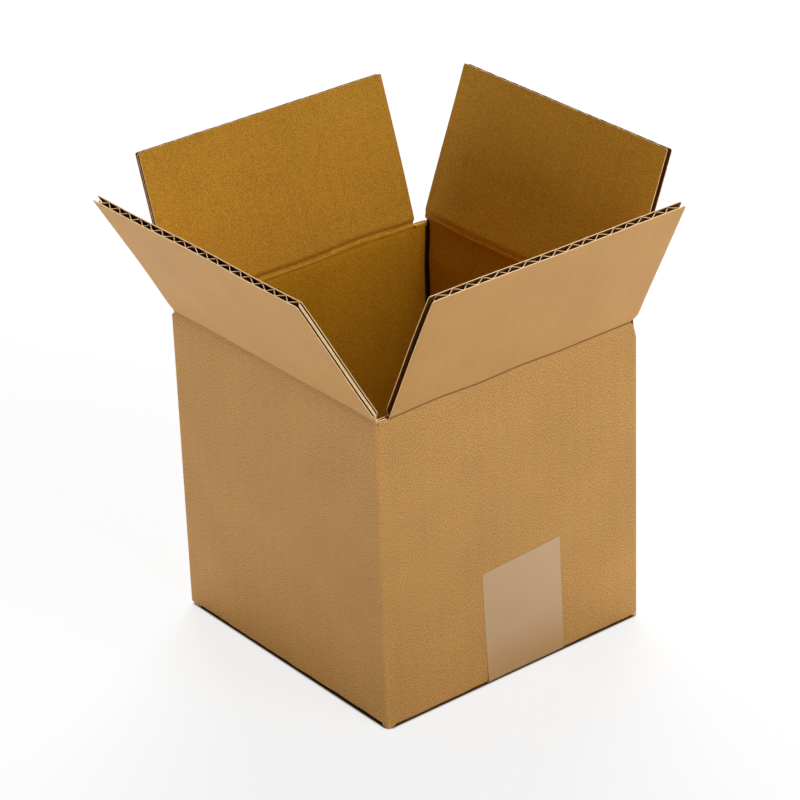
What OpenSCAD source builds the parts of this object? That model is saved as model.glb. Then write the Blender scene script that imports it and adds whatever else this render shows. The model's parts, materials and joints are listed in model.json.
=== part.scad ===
// Open regular slotted shipping carton in single-wall corrugated board.
// The bottom is folded shut and taped, and the four top flaps lean outwards.
// Origin: middle of the underside, on the surface that the carton stands on, with +Z up.
// The front faces -Y, the right side +X, the back +Y and the left side -X.
// All sizes are in millimetres and all angles in degrees.

/* [Carton] */
// Inside width, between the left and right walls
inside_x = 152.4; // [120:0.1:300]
// Inside depth, between the front and back walls
inside_y = 152.4; // [120:0.1:300]
// Inside height, from the floor to the closed front and back flaps
inside_z = 152.4; // [90:0.1:300]
// Outer radius of the upright corners
corner_r = 2.4; // [0.5:0.1:3.5]
// Outer radius of the folds at the foot of the walls
foot_r = 3; // [0.5:0.1:3.5]

/* [Board] */
// Thickness of the corrugated board
board_t = 3.5; // [3.4:0.1:5]
// Thickness of each flat liner
liner_t = 0.4; // [0.25:0.05:0.6]
// Thickness of the wavy medium between the liners
medium_t = 0.35; // [0.25:0.05:0.5]
// Distance from one flute to the next
flute_pitch = 8.5; // [6.5:0.1:12]

/* [Creases] */
// Length over which a flap grows from its crease to the full board
crease_run = 7; // [4:0.1:10]
// Solid pressed board beyond that, before the flutes open
crease_flat = 1.5; // [0.5:0.1:4]
// Depth pressed into the inner face of the left and right walls
press_side = 2.2; // [1:0.1:2.6]
// Depth pressed into the inner face of the front and back walls
press_end = 0.8; // [0.2:0.1:2]
// Height of the pressed band on the front and back walls
press_band = 7; // [5:0.1:15]
// Height over which a wall grows from its pressed band to the full board
press_fade = 14; // [4:0.5:30]
// Width of the pressed groove inside an upright corner
groove_w = 2.6; // [1:0.1:4]
// Depth of that groove into the corner
groove_deep = 1.6; // [0.5:0.1:2]

/* [Top flaps] */
// Lean of the left flap, outwards from upright
lean_left = 30; // [5:0.5:60]
// Lean of the right flap
lean_right = 21; // [5:0.5:60]
// Lean of the front flap
lean_front = 26; // [5:0.5:60]
// Lean of the back flap
lean_back = 18; // [5:0.5:60]
// Slot beside the front left corner, cut out of the front flap
slot_front = 9.3; // [6:0.1:16]
// Slot beside the front right corner, cut out of the right flap
slot_right = 7.8; // [6:0.1:16]
// Slot beside the back right corner, cut out of the back flap
slot_back = 10; // [6:0.1:16]
// Depth of the slots below the crease line
slot_drop = 1; // [0.4:0.1:3]
// Depth of the open flutes at the bottom of a slot
slot_flute = 10; // [2:0.5:30]
// Corner nipped off a flap where it meets its crease
flap_nip = 3; // [0.5:0.1:6]
// Least trim at the end of a flap that has no slot
end_trim = 0.6; // [0.5:0.1:4]
// Gap between two flaps that meet in the middle
seam_gap = 1.5; // [0.5:0.1:6]

/* [Bottom flaps] */
// Trim at the ends of the left and right bottom flaps
foot_trim = 4.4; // [4:0.1:8]
// Slot beside the glue joint, cut out of the left bottom flap
foot_slot = 9; // [6:0.1:16]
// Gap between the end of a front or back bottom flap and the wall beside it
foot_gap = 0.8; // [0.3:0.1:3]

/* [Glue joint] */
// Width of the glue tab inside the left wall
tab_w = 33; // [20:0.5:45]
// Height that the tab's free edge loses at each end
tab_taper = 9; // [3:0.5:20]
// Setback of the left wall's cut edge behind the back face
joint_step = 0.5; // [0.2:0.1:1.5]

/* [Seam tape] */
// Width of the tape
tape_w = 48; // [20:0.5:72]
// Thickness of the tape
tape_t = 0.15; // [0.1:0.01:0.4]
// Height of the tape on the front and back walls
tape_rise = 60; // [25:0.5:80]
// Offset of the tape from the seam, towards the right
tape_shift = 4; // [-10:0.5:10]
// Slant of the tape's cut end on the front wall
tape_slant = 3; // [0:0.5:8]

/* [Clearances] */
// Clearance between a closed flap and what it passes
pass_gap = 0.3; // [0.3:0.05:1]
// Distance of each side of a crease from its fold line
crease_slit = 0.2; // [0.15:0.05:0.5]

/* [Hidden] */

FRONT = 0;
RIGHT = 1;
BACK = 2;
LEFT = 3;

half_x = inside_x / 2 + board_t;
half_y = inside_y / 2 + board_t;
foot_z = tape_t;
floor_z = foot_z + 2 * board_t;
hinge_end = floor_z + inside_z + board_t;
hinge_side = hinge_end + board_t + pass_gap;
shut_underside = hinge_end - board_t - pass_gap;
top_gap = seam_gap / 2;
flap_side_len = half_x - top_gap;
flap_end_len = min(half_x, half_y) - top_gap;
foot_round = min(foot_r, board_t - 0.4);
corner_round = min(corner_r, board_t - 0.4);
mitre = board_t / crease_run;
// How far a cutting shape reaches past what it cuts
overcut = 1;
arc_steps = 6;
wave_steps = 8;

// How far a leaning flap reaches inwards past its own fold line
function reach(lean) = max(0, board_t * cos(lean) - crease_run * sin(lean));

// Trim at the end of a left or right flap, beside an end flap that leans so
function side_trim(lean) = max(end_trim, reach(lean) + pass_gap);

// Trim at the end of a front or back flap, beside a side flap that leans so
function end_flap_trim(lean) =
    max(end_trim, board_t - press_side + pass_gap, reach(lean) + pass_gap);

// Points of a round stretch about a centre, from one angle to another
function arc(centre, r, from, to) =
    [for (i = [0:arc_steps]) let (a = from + (to - from) * i / arc_steps) centre + r * [cos(a), sin(a)]];

// Turns what is built on the front to another side
module on_side(side) {
    rotate([0, 0, 90 * side]) children();
}

// Runs a section along X: the section's first axis goes to +Y and its second to +Z
module along_wall(start, end) {
    translate([start, 0, 0]) rotate([90, 0, 90]) linear_extrude(end - start) children();
}

// Board

// One flute space, from its liner to the wavy medium, centred on the second axis
module flute_space() {
    liner_y = board_t / 2 - liner_t;
    swing = liner_y - medium_t / 3;
    skin = medium_t * 0.7;
    reach_x = flute_pitch / 360 * acos((skin - liner_y) / swing);
    polygon([
        for (i = [0:wave_steps])
            let (x = reach_x * (2 * i / wave_steps - 1))
            [x, i == 0 || i == wave_steps ? liner_y : skin - swing * cos(360 * x / flute_pitch)]
    ]);
}

// Every flute space over a width of board, on both sides of the wave
module flute_spaces(width) {
    count = ceil(width / flute_pitch / 2) + 1;
    intersection() {
        square([width, board_t]);
        translate([width / 2, board_t / 2])
            for (i = [-count:count]) {
                translate([i * flute_pitch, 0]) flute_space();
                translate([(i + 0.5) * flute_pitch, 0]) mirror([0, 1]) flute_space();
            }
    }
}

// Section across the flutes: two liners with the wave between them
module fluted_section(width) {
    difference() {
        square([width, board_t]);
        flute_spaces(width);
    }
}

// Top flap, upright, with its fold line on the X axis and its outer face towards -Y
module top_flap(width, length) {
    root = crease_slit + crease_run + crease_flat;
    intersection() {
        along_wall(0, width)
            polygon([
                [0, crease_slit],
                [board_t, crease_slit + crease_run],
                [board_t, root],
                [0, root]
            ]);
        translate([0, board_t, 0])
            rotate([90, 0, 0])
                linear_extrude(board_t)
                    polygon([
                        [flap_nip, 0],
                        [width - flap_nip, 0],
                        [width, flap_nip + crease_slit],
                        [width, root],
                        [0, root],
                        [0, flap_nip + crease_slit]
                    ]);
    }
    translate([0, 0, root]) linear_extrude(length - root) fluted_section(width);
}

// Puts a top flap on its fold line: trims are at its start and end, seen from outside
module placed_flap(side, half_depth, half_length, fold_z, lean, trims, length) {
    on_side(side)
        translate([trims[0] - half_length, -half_depth, fold_z])
            rotate([lean, 0, 0])
                top_flap(2 * half_length - trims[0] - trims[1], length);
}

// Folded sheet

// Section of a wall: a plain plate with a mitred top edge and a pressed band inside
module wall_section(half_depth, fold_z, press, band_z) {
    land = board_t - press;
    polygon([
        [-half_depth, foot_z + foot_round],
        [-half_depth, fold_z - crease_slit],
        [land - half_depth, fold_z - crease_slit - land * mitre],
        [land - half_depth, band_z],
        [board_t - half_depth, band_z - press_fade],
        [board_t - half_depth, foot_z + foot_round]
    ]);
}

// Section of a bottom flap, with the round foot of the wall that it hangs on
module foot_section(half_depth, flap_z, length) {
    step = flap_z > foot_z ? [[board_t - half_depth, foot_z], [board_t - half_depth, flap_z]] : [];
    polygon(concat(
        [[-half_depth, flap_z + board_t]],
        arc([foot_round - half_depth, foot_z + foot_round], foot_round, 180, 270),
        step,
        [[length - half_depth, flap_z], [length - half_depth, flap_z + board_t]]
    ));
}

// Foot of a wall and its bottom flap; the trims are at its start and end, seen from outside
module footed_flap(half_depth, half_length, flap_z, trims, flap_length) {
    along_wall(trims[0] - half_length, half_length - trims[1])
        foot_section(half_depth, flap_z, flap_length);
    for (end = [0, 1])
        mirror([end, 0, 0])
            along_wall(-half_length, trims[end] - half_length - pass_gap)
                translate([-half_depth, foot_z])
                    square([board_t, foot_round]);
}

// Left or right wall with its bottom flap
module side_wall(side, trims) {
    on_side(side) {
        along_wall(-half_y, half_y)
            wall_section(half_x, hinge_side, press_side, shut_underside);
        footed_flap(half_x, half_y, foot_z, trims, flap_side_len);
    }
}

// Front or back wall with its bottom flap, which lies inside the side flaps
module end_wall(side) {
    trim = board_t + foot_gap;
    on_side(side) {
        along_wall(-half_x, half_x)
            wall_section(half_y, hinge_end, press_end, hinge_end - press_band);
        footed_flap(half_y, half_x, foot_z + board_t, [trim, trim], flap_end_len);
    }
}

// Full board under a slot, beside the left end of a wall, seen from outside
module slot_floor(side, width) {
    depth = press_band + press_fade;
    on_side(side)
        translate([-half_x, -half_y, hinge_end - slot_drop - depth])
            cube([width - pass_gap, board_t, depth]);
}

// Flutes that the slot leaves open at its bottom, clear of the corner
module slot_flutes(side, width) {
    on_side(side)
        translate([board_t - half_x, -half_y, hinge_end - slot_drop - slot_flute])
            linear_extrude(slot_flute + overcut)
                flute_spaces(width - board_t - pass_gap - liner_t);
}

// Cuts the top edge of the right wall down inside its slot, level with the slots of the front and back
module right_slot_cut() {
    bottom = hinge_end - slot_drop;
    on_side(RIGHT)
        translate([-half_y - overcut, -half_x - overcut, bottom])
            cube([
                slot_right - pass_gap + overcut,
                board_t + 2 * overcut,
                hinge_side - bottom + overcut
            ]);
}

// Outline of the folded walls: round creases, and a square cut edge at the glue joint
module wall_outline() {
    r = corner_round;
    polygon(concat(
        arc([r - half_x, r - half_y], r, 180, 270),
        arc([half_x - r, r - half_y], r, 270, 360),
        arc([half_x - r, half_y - r], r, 0, 90),
        arc([r + board_t - half_x, half_y - r], r, 90, 180),
        [[board_t - half_x, half_y - joint_step], [-half_x, half_y - joint_step]]
    ));
}

// Tab that runs on from the back wall and is glued inside the left wall
module glue_tab() {
    low = floor_z + pass_gap;
    high = shut_underside - press_fade;
    root = half_y - board_t;
    translate([board_t - half_x, 0, 0])
        rotate([90, 0, 90])
            linear_extrude(board_t)
                polygon([
                    [root, low],
                    [root, high],
                    [root - tab_w, high - tab_taper],
                    [root - tab_w, low + tab_taper]
                ]);
}

// Groove pressed into an inner corner, so that the sheet folds there
module corner_groove(side) {
    depth = groove_deep / sqrt(2);
    span = groove_w / sqrt(2);
    rotate([0, 0, 90 * side])
        translate([
            board_t - (side % 2 == 0 ? half_x : half_y),
            board_t - (side % 2 == 0 ? half_y : half_x),
            floor_z
        ])
            linear_extrude(hinge_side)
                polygon([[span, 0], [-depth, -depth], [0, span]]);
}

module carton_body() {
    color([0.73, 0.57, 0.36]) {
        intersection() {
            difference() {
                union() {
                    side_wall(LEFT, [foot_slot, foot_trim]);
                    side_wall(RIGHT, [foot_trim, foot_trim]);
                    end_wall(FRONT);
                    end_wall(BACK);
                    slot_floor(FRONT, slot_front);
                    slot_floor(BACK, slot_back);
                }
                right_slot_cut();
                slot_flutes(FRONT, slot_front);
                slot_flutes(BACK, slot_back);
                corner_groove(FRONT);
                corner_groove(RIGHT);
                corner_groove(BACK);
            }
            linear_extrude(hinge_side) wall_outline();
        }
        glue_tab();
    }
}

// Top flaps

module flap_left() {
    color([0.78, 0.62, 0.41])
        placed_flap(LEFT, half_x, half_y, hinge_side, lean_left,
            [side_trim(lean_back), side_trim(lean_front)], flap_side_len);
}

module flap_right() {
    color([0.78, 0.62, 0.41])
        placed_flap(RIGHT, half_x, half_y, hinge_side, lean_right,
            [slot_right, side_trim(lean_back)], flap_side_len);
}

module flap_front() {
    color([0.78, 0.62, 0.41])
        placed_flap(FRONT, half_y, half_x, hinge_end, lean_front,
            [slot_front, end_flap_trim(lean_right)], flap_end_len);
}

module flap_back() {
    color([0.78, 0.62, 0.41])
        placed_flap(BACK, half_y, half_x, hinge_end, lean_back,
            [slot_back, end_flap_trim(lean_left)], flap_end_len);
}

// Seam tape

// Outline of what the tape wraps, from the front face under the bottom to the back face
module wrap_outline(skin) {
    r = foot_round;
    polygon(concat(
        [[-half_y - skin, tape_rise]],
        arc([r - half_y, r + tape_t], r + skin, 180, 270),
        arc([half_y - r, r + tape_t], r + skin, 270, 360),
        [[half_y + skin, tape_rise]]
    ));
}

module seam_tape() {
    color([0.76, 0.64, 0.47])
        difference() {
            along_wall(tape_shift - tape_w / 2, tape_shift + tape_w / 2)
                difference() {
                    wrap_outline(tape_t);
                    wrap_outline(0);
                }
            translate([tape_shift + tape_w / 2, -half_y - overcut, tape_rise])
                rotate([0, -tape_slant, 0])
                    translate([-2 * tape_w, 0, 0])
                        cube([2 * tape_w, 2 * overcut, tape_w]);
        }
}

carton_body();
flap_left();
flap_right();
flap_front();
flap_back();
seam_tape();
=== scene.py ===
"""Dresses an open corrugated carton: true board edges, pressed creases, kraft paper, seam tape and a studio.

Shapes are worked out in millimetres in the carton's own frame, and turned into metres when a mesh is made.
"""

import json
import logging
import math
from dataclasses import dataclass, field
from enum import Enum
from typing import List, Mapping, Optional, Sequence, Tuple, Union

import bmesh
import bpy
import numpy as np
from mathutils import Matrix, Vector


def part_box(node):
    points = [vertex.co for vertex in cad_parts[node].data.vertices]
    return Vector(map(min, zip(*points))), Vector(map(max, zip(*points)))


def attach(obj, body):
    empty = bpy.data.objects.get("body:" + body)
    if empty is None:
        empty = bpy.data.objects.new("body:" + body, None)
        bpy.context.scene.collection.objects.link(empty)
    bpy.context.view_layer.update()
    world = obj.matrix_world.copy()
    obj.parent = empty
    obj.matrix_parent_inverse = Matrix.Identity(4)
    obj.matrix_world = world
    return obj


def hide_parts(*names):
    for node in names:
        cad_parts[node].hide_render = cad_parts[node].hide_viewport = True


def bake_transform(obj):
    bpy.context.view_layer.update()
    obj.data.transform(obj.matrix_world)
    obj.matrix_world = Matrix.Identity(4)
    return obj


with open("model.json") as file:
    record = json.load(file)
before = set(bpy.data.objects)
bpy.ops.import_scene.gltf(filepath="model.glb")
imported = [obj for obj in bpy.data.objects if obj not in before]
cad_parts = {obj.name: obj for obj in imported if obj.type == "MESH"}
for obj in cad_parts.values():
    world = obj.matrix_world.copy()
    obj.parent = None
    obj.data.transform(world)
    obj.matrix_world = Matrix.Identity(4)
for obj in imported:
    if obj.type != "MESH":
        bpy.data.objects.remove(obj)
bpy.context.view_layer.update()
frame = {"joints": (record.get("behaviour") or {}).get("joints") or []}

LOG = logging.getLogger("carton")
MM = 0.001
UNDERSIDE = 0.15
SLOT_FLOOR = 162.05
FOLD_ANGLES = np.radians(np.linspace(0.0, 90.0, 9))
SAME_PLACE = 1e-6
Array = np.ndarray
Pair = Tuple[Array, Array]
Outline = List[Tuple[float, float]]
Point = Tuple[float, float, float]
Colour = Tuple[float, float, float]
Band = Tuple[float, float, float, float]
Fade = Tuple[float, float]
Materials = Sequence[bpy.types.Material]
# The walls' outer kraft, and the same paper drawn paler on the flaps as a painted sheen.
WALL_KRAFT: Colour = (0.466, 0.236, 0.056)
FLAP_KRAFT_PAINTED_SHEEN: Colour = (0.49, 0.257, 0.07)
# Material slots. The medium's slot carries a kraft painted nearly black as shade in the flute channels, and
# it also closes the channels at cut edges and slot floors.
OUTER, INNER, MEDIUM_PAINTED_SHADE, CUT = range(4)


def smooth(value: Union[float, Array]) -> Array:
    """Returns an S-shaped ramp that is 0 below 0 and 1 above 1."""
    t = np.clip(value, 0.0, 1.0)
    return t * t * (3.0 - 2.0 * t)


def handles(t: float) -> Tuple[float, float, float]:
    """Returns the pull of a curve's first, middle and last handle at a place from 0 to 1."""
    return (1.0 - t) ** 2, 2.0 * t * (1.0 - t), t * t


def ripple(u: Array, v: Array, wavelength: float, seed: int) -> Array:
    """Returns a soft unevenness over a sheet, between about -1 and 1.

    Args:
        u: Places along the sheet.
        v: Places up the sheet.
        wavelength: Typical distance from one swell to the next.
        seed: Chooses the pattern.

    Returns:
        The height of the unevenness at each place.
    """
    draw = np.random.default_rng(seed)
    height = np.zeros(np.broadcast(u, v).shape)
    swells = 7
    for _ in range(swells):
        heading = draw.uniform(0.0, math.tau)
        pace = math.tau / (wavelength * draw.uniform(0.6, 1.6))
        shift = draw.uniform(0.0, math.tau)
        height = height + np.sin(pace * (u * math.cos(heading) + v * math.sin(heading)) + shift)
    return height / math.sqrt(swells)


def placed(name: str, data: bpy.types.ID) -> bpy.types.Object:
    """Puts a mesh, lamp or camera in the scene.

    Args:
        name: The object's name.
        data: The mesh, lamp or camera.

    Returns:
        The new object.
    """
    thing = bpy.data.objects.new(name, data)
    bpy.context.scene.collection.objects.link(thing)
    return thing


class Side(Enum):
    """The four walls, in the order in which they follow each other, seen from outside."""

    LEFT = 0
    FRONT = 1
    RIGHT = 2
    BACK = 3

    @property
    def along(self) -> Tuple[int, int]:
        """Direction along the wall, from left to right seen from outside."""
        return ((0, -1), (1, 0), (0, 1), (-1, 0))[self.value]

    @property
    def outward(self) -> Tuple[int, int]:
        """Direction out of the wall."""
        along = self.along
        return (along[1], -along[0])

    @property
    def is_end(self) -> bool:
        """Whether the wall carries the flaps that close first."""
        return self in (Side.FRONT, Side.BACK)

    def neighbour(self, step: int) -> "Side":
        """Returns the wall round the right corner, for 1, or round the left one, for -1."""
        return Side((self.value + step) % 4)

    def sheet_middle(self, half: float) -> float:
        """Returns where the wall's middle lies along the flat sheet, for half the carton's width."""
        return self.value * 2.0 * half + half

    def flat_point(self, half: float, place: Array, depth: Array) -> Array:
        """Turns places along a wall and depths below its face into X and Y.

        Args:
            half: Half the carton's width.
            place: Distance along the wall from its middle.
            depth: Distance in from the wall's outer plane.

        Returns:
            X and Y, in the last axis.
        """
        along, outward = self.along, self.outward
        place, depth = np.broadcast_arrays(np.asarray(place, float), np.asarray(depth, float))
        return np.stack(
            [outward[axis] * (half - depth) + along[axis] * place for axis in (0, 1)], axis=-1
        )


@dataclass(frozen=True)
class Board:
    """Single-wall corrugated board."""

    thickness: float = 3.5
    liner: float = 0.42
    medium: float = 0.4
    flute_pitch: float = 8.5
    sharpness: float = 0.93
    wobble: float = 0.05

    def wave(self, turns: Array) -> Array:
        """Returns the medium's swing at places counted in flutes: -1 is the outer liner, 1 the inner."""
        return np.arcsin(self.sharpness * np.sin(math.tau * turns)) / math.asin(self.sharpness)

    def uneven(self, turns: Array) -> Array:
        """Shifts places counted in flutes a little, as no two flutes are quite alike."""
        return turns + self.wobble * (np.sin(2.3 * turns + 1.0) + 0.7 * np.sin(5.1 * turns))


BOARD = Board()


@dataclass(frozen=True)
class CreaseShape:
    """How thick the board is along a pressed crease, as knots of distance from the fold and thickness."""

    knots: Tuple[Tuple[float, float], ...]

    def thickness(self, beyond: Array) -> Array:
        """Returns the board's thickness at distances above the fold line."""
        places, values = zip(*self.knots)
        return np.interp(beyond, places, values)


SIDE_CREASE = CreaseShape((
    (-21.0, 3.5), (-9.5, 1.75), (-7.0, 1.4), (-1.4, 1.25), (-0.5, 1.85), (0.2, 1.6), (0.8, 1.1), (1.3, 1.3),
    (2.1, 2.6), (2.8, 3.25), (3.8, 3.5),
))
SHALLOW_CREASE = CreaseShape((
    (-21.0, 3.5), (-9.5, 1.75), (-7.0, 1.4), (-1.4, 1.25), (-0.5, 2.3), (0.2, 2.7), (0.8, 2.6), (1.3, 2.7),
    (2.1, 3.0), (2.8, 3.25), (3.8, 3.5),
))
END_CREASE = CreaseShape((
    (-16.0, 3.5), (-7.5, 3.05), (-3.0, 2.6), (-1.4, 2.2), (-0.5, 2.7), (0.2, 2.3), (0.8, 1.5), (1.3, 1.6),
    (2.1, 2.7), (2.8, 3.25), (3.8, 3.5),
))


@dataclass(frozen=True)
class WallBow:
    """The walls' slight bulge, which dies out at their corners, feet and creases."""

    half: float
    top: float = 159.0
    amount: float = 0.4
    edge: float = 8.0
    fullness: float = 0.7
    foot_fade: float = 30.0
    top_fade: float = 25.0
    swell: float = 110.0
    seed: int = 40

    def at(self, side: Side, place: Array, height: Array) -> Array:
        """Returns how far a wall stands out.

        Args:
            side: The wall.
            place: Distance along the wall from its middle.
            height: Height above the floor.

        Returns:
            The bulge there.
        """
        inside = np.clip(np.abs(place) / (self.half - self.edge), 0.0, 1.0)
        across = np.cos(math.pi / 2.0 * inside) ** self.fullness
        rise = smooth(height / self.foot_fade) * smooth((self.top - height) / self.top_fade)
        return self.amount * across * rise * ripple(place, height, self.swell, self.seed + side.value)


class BoardMesh:
    """Collects grids of points into one mesh."""

    weld = 0.002 * MM
    sharp_angle = math.radians(38.0)

    def __init__(self) -> None:
        """Starts with nothing in it."""
        self.points: List[Array] = []
        self.sheet: List[Array] = []
        self.faces: List[Array] = []
        self.materials: List[Array] = []
        self.count = 0

    def grid(self, points: Array, sheet: Array, material: int) -> None:
        """Adds a grid of quads.

        Args:
            points: Places in millimetres, as rows by columns by three.
            sheet: Place of each point on the flat sheet, of the same shape.
            material: Number of the material slot.
        """
        rows, columns = points.shape[:2]
        index = self.count + np.arange(rows * columns).reshape(rows, columns)
        quads = np.stack([index[:-1, :-1], index[:-1, 1:], index[1:, 1:], index[1:, :-1]], axis=-1)
        self.points.append(points.reshape(-1, 3))
        self.sheet.append(np.broadcast_to(sheet, points.shape).reshape(-1, 3))
        self.faces.append(quads.reshape(-1, 4))
        self.materials.append(np.full((rows - 1) * (columns - 1), material))
        self.count += rows * columns

    def strip(self, one: Array, other: Array, one_sheet: Array, other_sheet: Array, material: int) -> None:
        """Joins two lines of points, each with its sheet places, by a strip of one material."""
        self.grid(np.stack([one, other]), np.stack([one_sheet, other_sheet]), material)

    def plate(
        self,
        faces: Sequence[Array],
        sheets: Sequence[Array],
        materials: Tuple[int, int, int],
        open_border: str = "",
    ) -> None:
        """Adds two faces and the strips round their borders.

        Args:
            faces: Points of the two faces, each as rows by columns by three.
            sheets: Sheet places of the two faces.
            materials: Material slots of the first face, the second face and the borders.
            open_border: A border that gets no strip: "first", "last", "start" or "end".
        """
        sheets = [np.broadcast_to(sheet, face.shape) for face, sheet in zip(faces, sheets)]
        for face, sheet, material in zip(faces, sheets, materials):
            self.grid(face, sheet, material)
        borders = {"first": np.s_[0, :], "last": np.s_[-1, :], "start": np.s_[:, 0], "end": np.s_[:, -1]}
        for name, border in borders.items():
            if name != open_border:
                lines = [part[border] for part in (*faces, *sheets)]
                self.strip(*lines, materials[2])

    def build(self, name: str, materials: Materials) -> bpy.types.Object:
        """Makes the object.

        Args:
            name: Name of the piece.
            materials: Materials of the slots, in order.

        Returns:
            The new object, in metres.
        """
        mesh = bpy.data.meshes.new(name)
        mesh.from_pydata((np.concatenate(self.points) * MM).tolist(), [], np.concatenate(self.faces).tolist())
        for material in materials:
            mesh.materials.append(material)
        mesh.polygons.foreach_set("material_index", np.concatenate(self.materials).astype(np.int32))
        attribute = mesh.attributes.new("sheet", "FLOAT_VECTOR", "POINT")
        attribute.data.foreach_set("vector", (np.concatenate(self.sheet) * MM).astype(np.float32).ravel())
        work = bmesh.new()
        work.from_mesh(mesh)
        bmesh.ops.remove_doubles(work, verts=work.verts, dist=self.weld)
        bmesh.ops.recalc_face_normals(work, faces=work.faces)
        work.to_mesh(mesh)
        work.free()
        mesh.shade_smooth()
        mesh.set_sharp_from_angle(angle=self.sharp_angle)
        return placed(name, mesh)


def near_ends(steps: Sequence[float], width: float, spacing: float) -> Array:
    """Places columns over a width, close together at both ends.

    Args:
        steps: Distances of the first columns from each end.
        width: The whole width.
        spacing: Rough distance of the columns between.

    Returns:
        The places as shares of the width, from 0 to 1.
    """
    steps = np.asarray(steps, float)
    inside = width - 2.0 * steps[-1]
    middle = steps[-1] + inside * np.linspace(0.0, 1.0, max(2, round(inside / spacing)))[1:-1]
    return np.concatenate([steps, middle, (width - steps)[::-1]]) / width


@dataclass
class TopFlap:
    """One top flap with its crease and the land of wall below the crease."""

    piece: str
    node: str
    side: Side
    joint: Mapping[str, object]
    half: float
    start: float
    end: float
    fold_drop: float
    groove: float
    turns_at_start: float
    turns_at_end: float
    nip_start: float = 0.0
    nip_end: float = 0.0
    recess_start: float = 0.15
    recess_end: float = 0.15
    fray_end: float = 0.0
    fray_width: float = 1.2
    corner_radius: float = 2.4
    most_rounding: float = 0.8
    rounding_fade: float = 5.0
    tip_gap: float = 0.75
    seed: int = 1
    bend: float = 1.3
    bend_share: float = 0.8
    nip_rise: float = 4.6
    nip_fullness: float = 0.7
    end_steps: Tuple[float, ...] = (0.0, 0.12, 0.3, 0.6, 1.0, 1.6, 2.4, 4.0, 7.0)
    spacing: float = 3.2
    tip_radius: float = 1.0
    tip_fade: float = 7.0
    tip_inset: float = 0.25
    tip_ragged: float = 0.12
    cut_ragged: float = 0.07
    groove_width: float = 0.55
    stray: float = 0.35
    stray_swell: float = 60.0
    crinkle: float = 0.12
    crinkle_swell: float = 18.0
    sag: float = 0.35
    sag_swell: float = 120.0
    sag_fade: float = 30.0
    least_board: float = 2.1
    fullest_medium: float = 0.8
    columns_per_flute: int = 18
    lean: float = field(init=False)
    fold_z: float = field(init=False)
    reach: float = field(init=False)

    def __post_init__(self) -> None:
        """Works out the lean and the fold line from the joint."""
        self.lean = math.radians(-90.0 - self.joint["range_deg"][0])
        self.fold_z = self.joint["pos_m"][2] / MM - self.fold_drop
        self.reach = self.half - self.tip_gap + self.fold_drop * math.cos(self.lean)

    @property
    def width(self) -> float:
        """Width of the flap above its nips."""
        return self.end - self.start

    @property
    def crease(self) -> CreaseShape:
        """Shape of the crease on this wall."""
        side_crease = SIDE_CREASE if self.side is Side.LEFT else SHALLOW_CREASE
        return END_CREASE if self.side.is_end else side_crease

    def rows(self) -> Array:
        """Lays the flap's rows of points, close together at the crease and at the free edge.

        Returns:
            Distances from the fold line.
        """
        near = [-2.2, -1.6, -1.3, -1.0, -0.7, -0.45, -0.2, 0.0, 0.2, 0.45, 0.7, 1.0, 1.3, 1.7, 2.2, 2.8]
        far = [3.5, 4.3, 5.2, 6.3, 7.6, 9.5, 12.0, 16.0, 22.0, 30.0, 40.0, 50.0, 60.0]
        tip = [self.reach - drop for drop in (12.0, 7.0, 4.0, 2.4, 1.5, 0.9, 0.45, 0.15, 0.0)]
        root, clear = SLOT_FLOOR - self.fold_z, 0.3
        return np.array([root] + [row for row in near + far + tip if row > root + clear])

    def section(self, beyond: Array, depth: Array) -> Pair:
        """Bends a place on the flat sheet round the crease.

        Args:
            beyond: Distance from the fold line, upwards along the sheet.
            depth: Distance in from the outer face.

        Returns:
            The depth below the wall's outer plane, and the height.
        """
        lean_out, lean_up = math.sin(self.lean), math.cos(self.lean)
        t = np.clip((beyond + self.bend) / (2.0 * self.bend), 0.0, 1.0)
        over = np.maximum(beyond - self.bend, 0.0)
        under = np.minimum(beyond + self.bend, 0.0)
        out = t * t * self.bend * lean_out + over * lean_out
        up = (t * t * lean_up - (1.0 - t) ** 2) * self.bend + over * lean_up + under
        tangent_out, tangent_up = t * lean_out, (1.0 - t) + t * lean_up
        length = np.hypot(tangent_out, tangent_up)
        return depth * tangent_up / length - out, self.fold_z + (up + depth * tangent_out / length)

    def folded(self, place: Array, beyond: Array, depth: Array) -> Array:
        """Puts places in the flat board where the folded flap has them.

        Args:
            place: Distance along the wall from its middle.
            beyond: Distance from the fold line.
            depth: Distance in from the outer face.

        Returns:
            Places in millimetres.
        """
        depth, height = self.section(beyond, depth)
        flat = self.side.flat_point(self.half, place, depth)
        return np.concatenate([flat, height[..., None]], axis=-1)

    def rounding(self, place: Array, beyond: Array) -> Array:
        """Returns how far the wall's round corner takes the outer face in, fading out above the crease.

        Args:
            place: Distance along the wall from its middle.
            beyond: Distance from the fold line.

        Returns:
            The depth that the corner adds.
        """
        into = np.clip(np.abs(place) - (self.half - self.corner_radius), 0.0, self.corner_radius)
        drop = self.corner_radius - np.sqrt(self.corner_radius ** 2 - into ** 2)
        return np.minimum(drop, self.most_rounding) * (1.0 - smooth((beyond + 1.0) / self.rounding_fade))

    def place(self, share: Array, beyond: Array) -> Array:
        """Returns the place along the wall of a column at a row.

        Args:
            share: Share of the flap's width.
            beyond: Distance from the fold line.

        Returns:
            Distance from the wall's middle.
        """
        nip = 1.0 - smooth(beyond / self.nip_rise) ** self.nip_fullness
        low = self.start + self.nip_start * nip
        high = self.end - self.nip_end * nip
        return low + (high - low) * share

    def from_root(self, beyond: Array, fade: float) -> Array:
        """Returns a ramp that rises from 0 at the flap's root to 1 over a distance."""
        return smooth((beyond - SLOT_FLOOR + self.fold_z) / fade)

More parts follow.
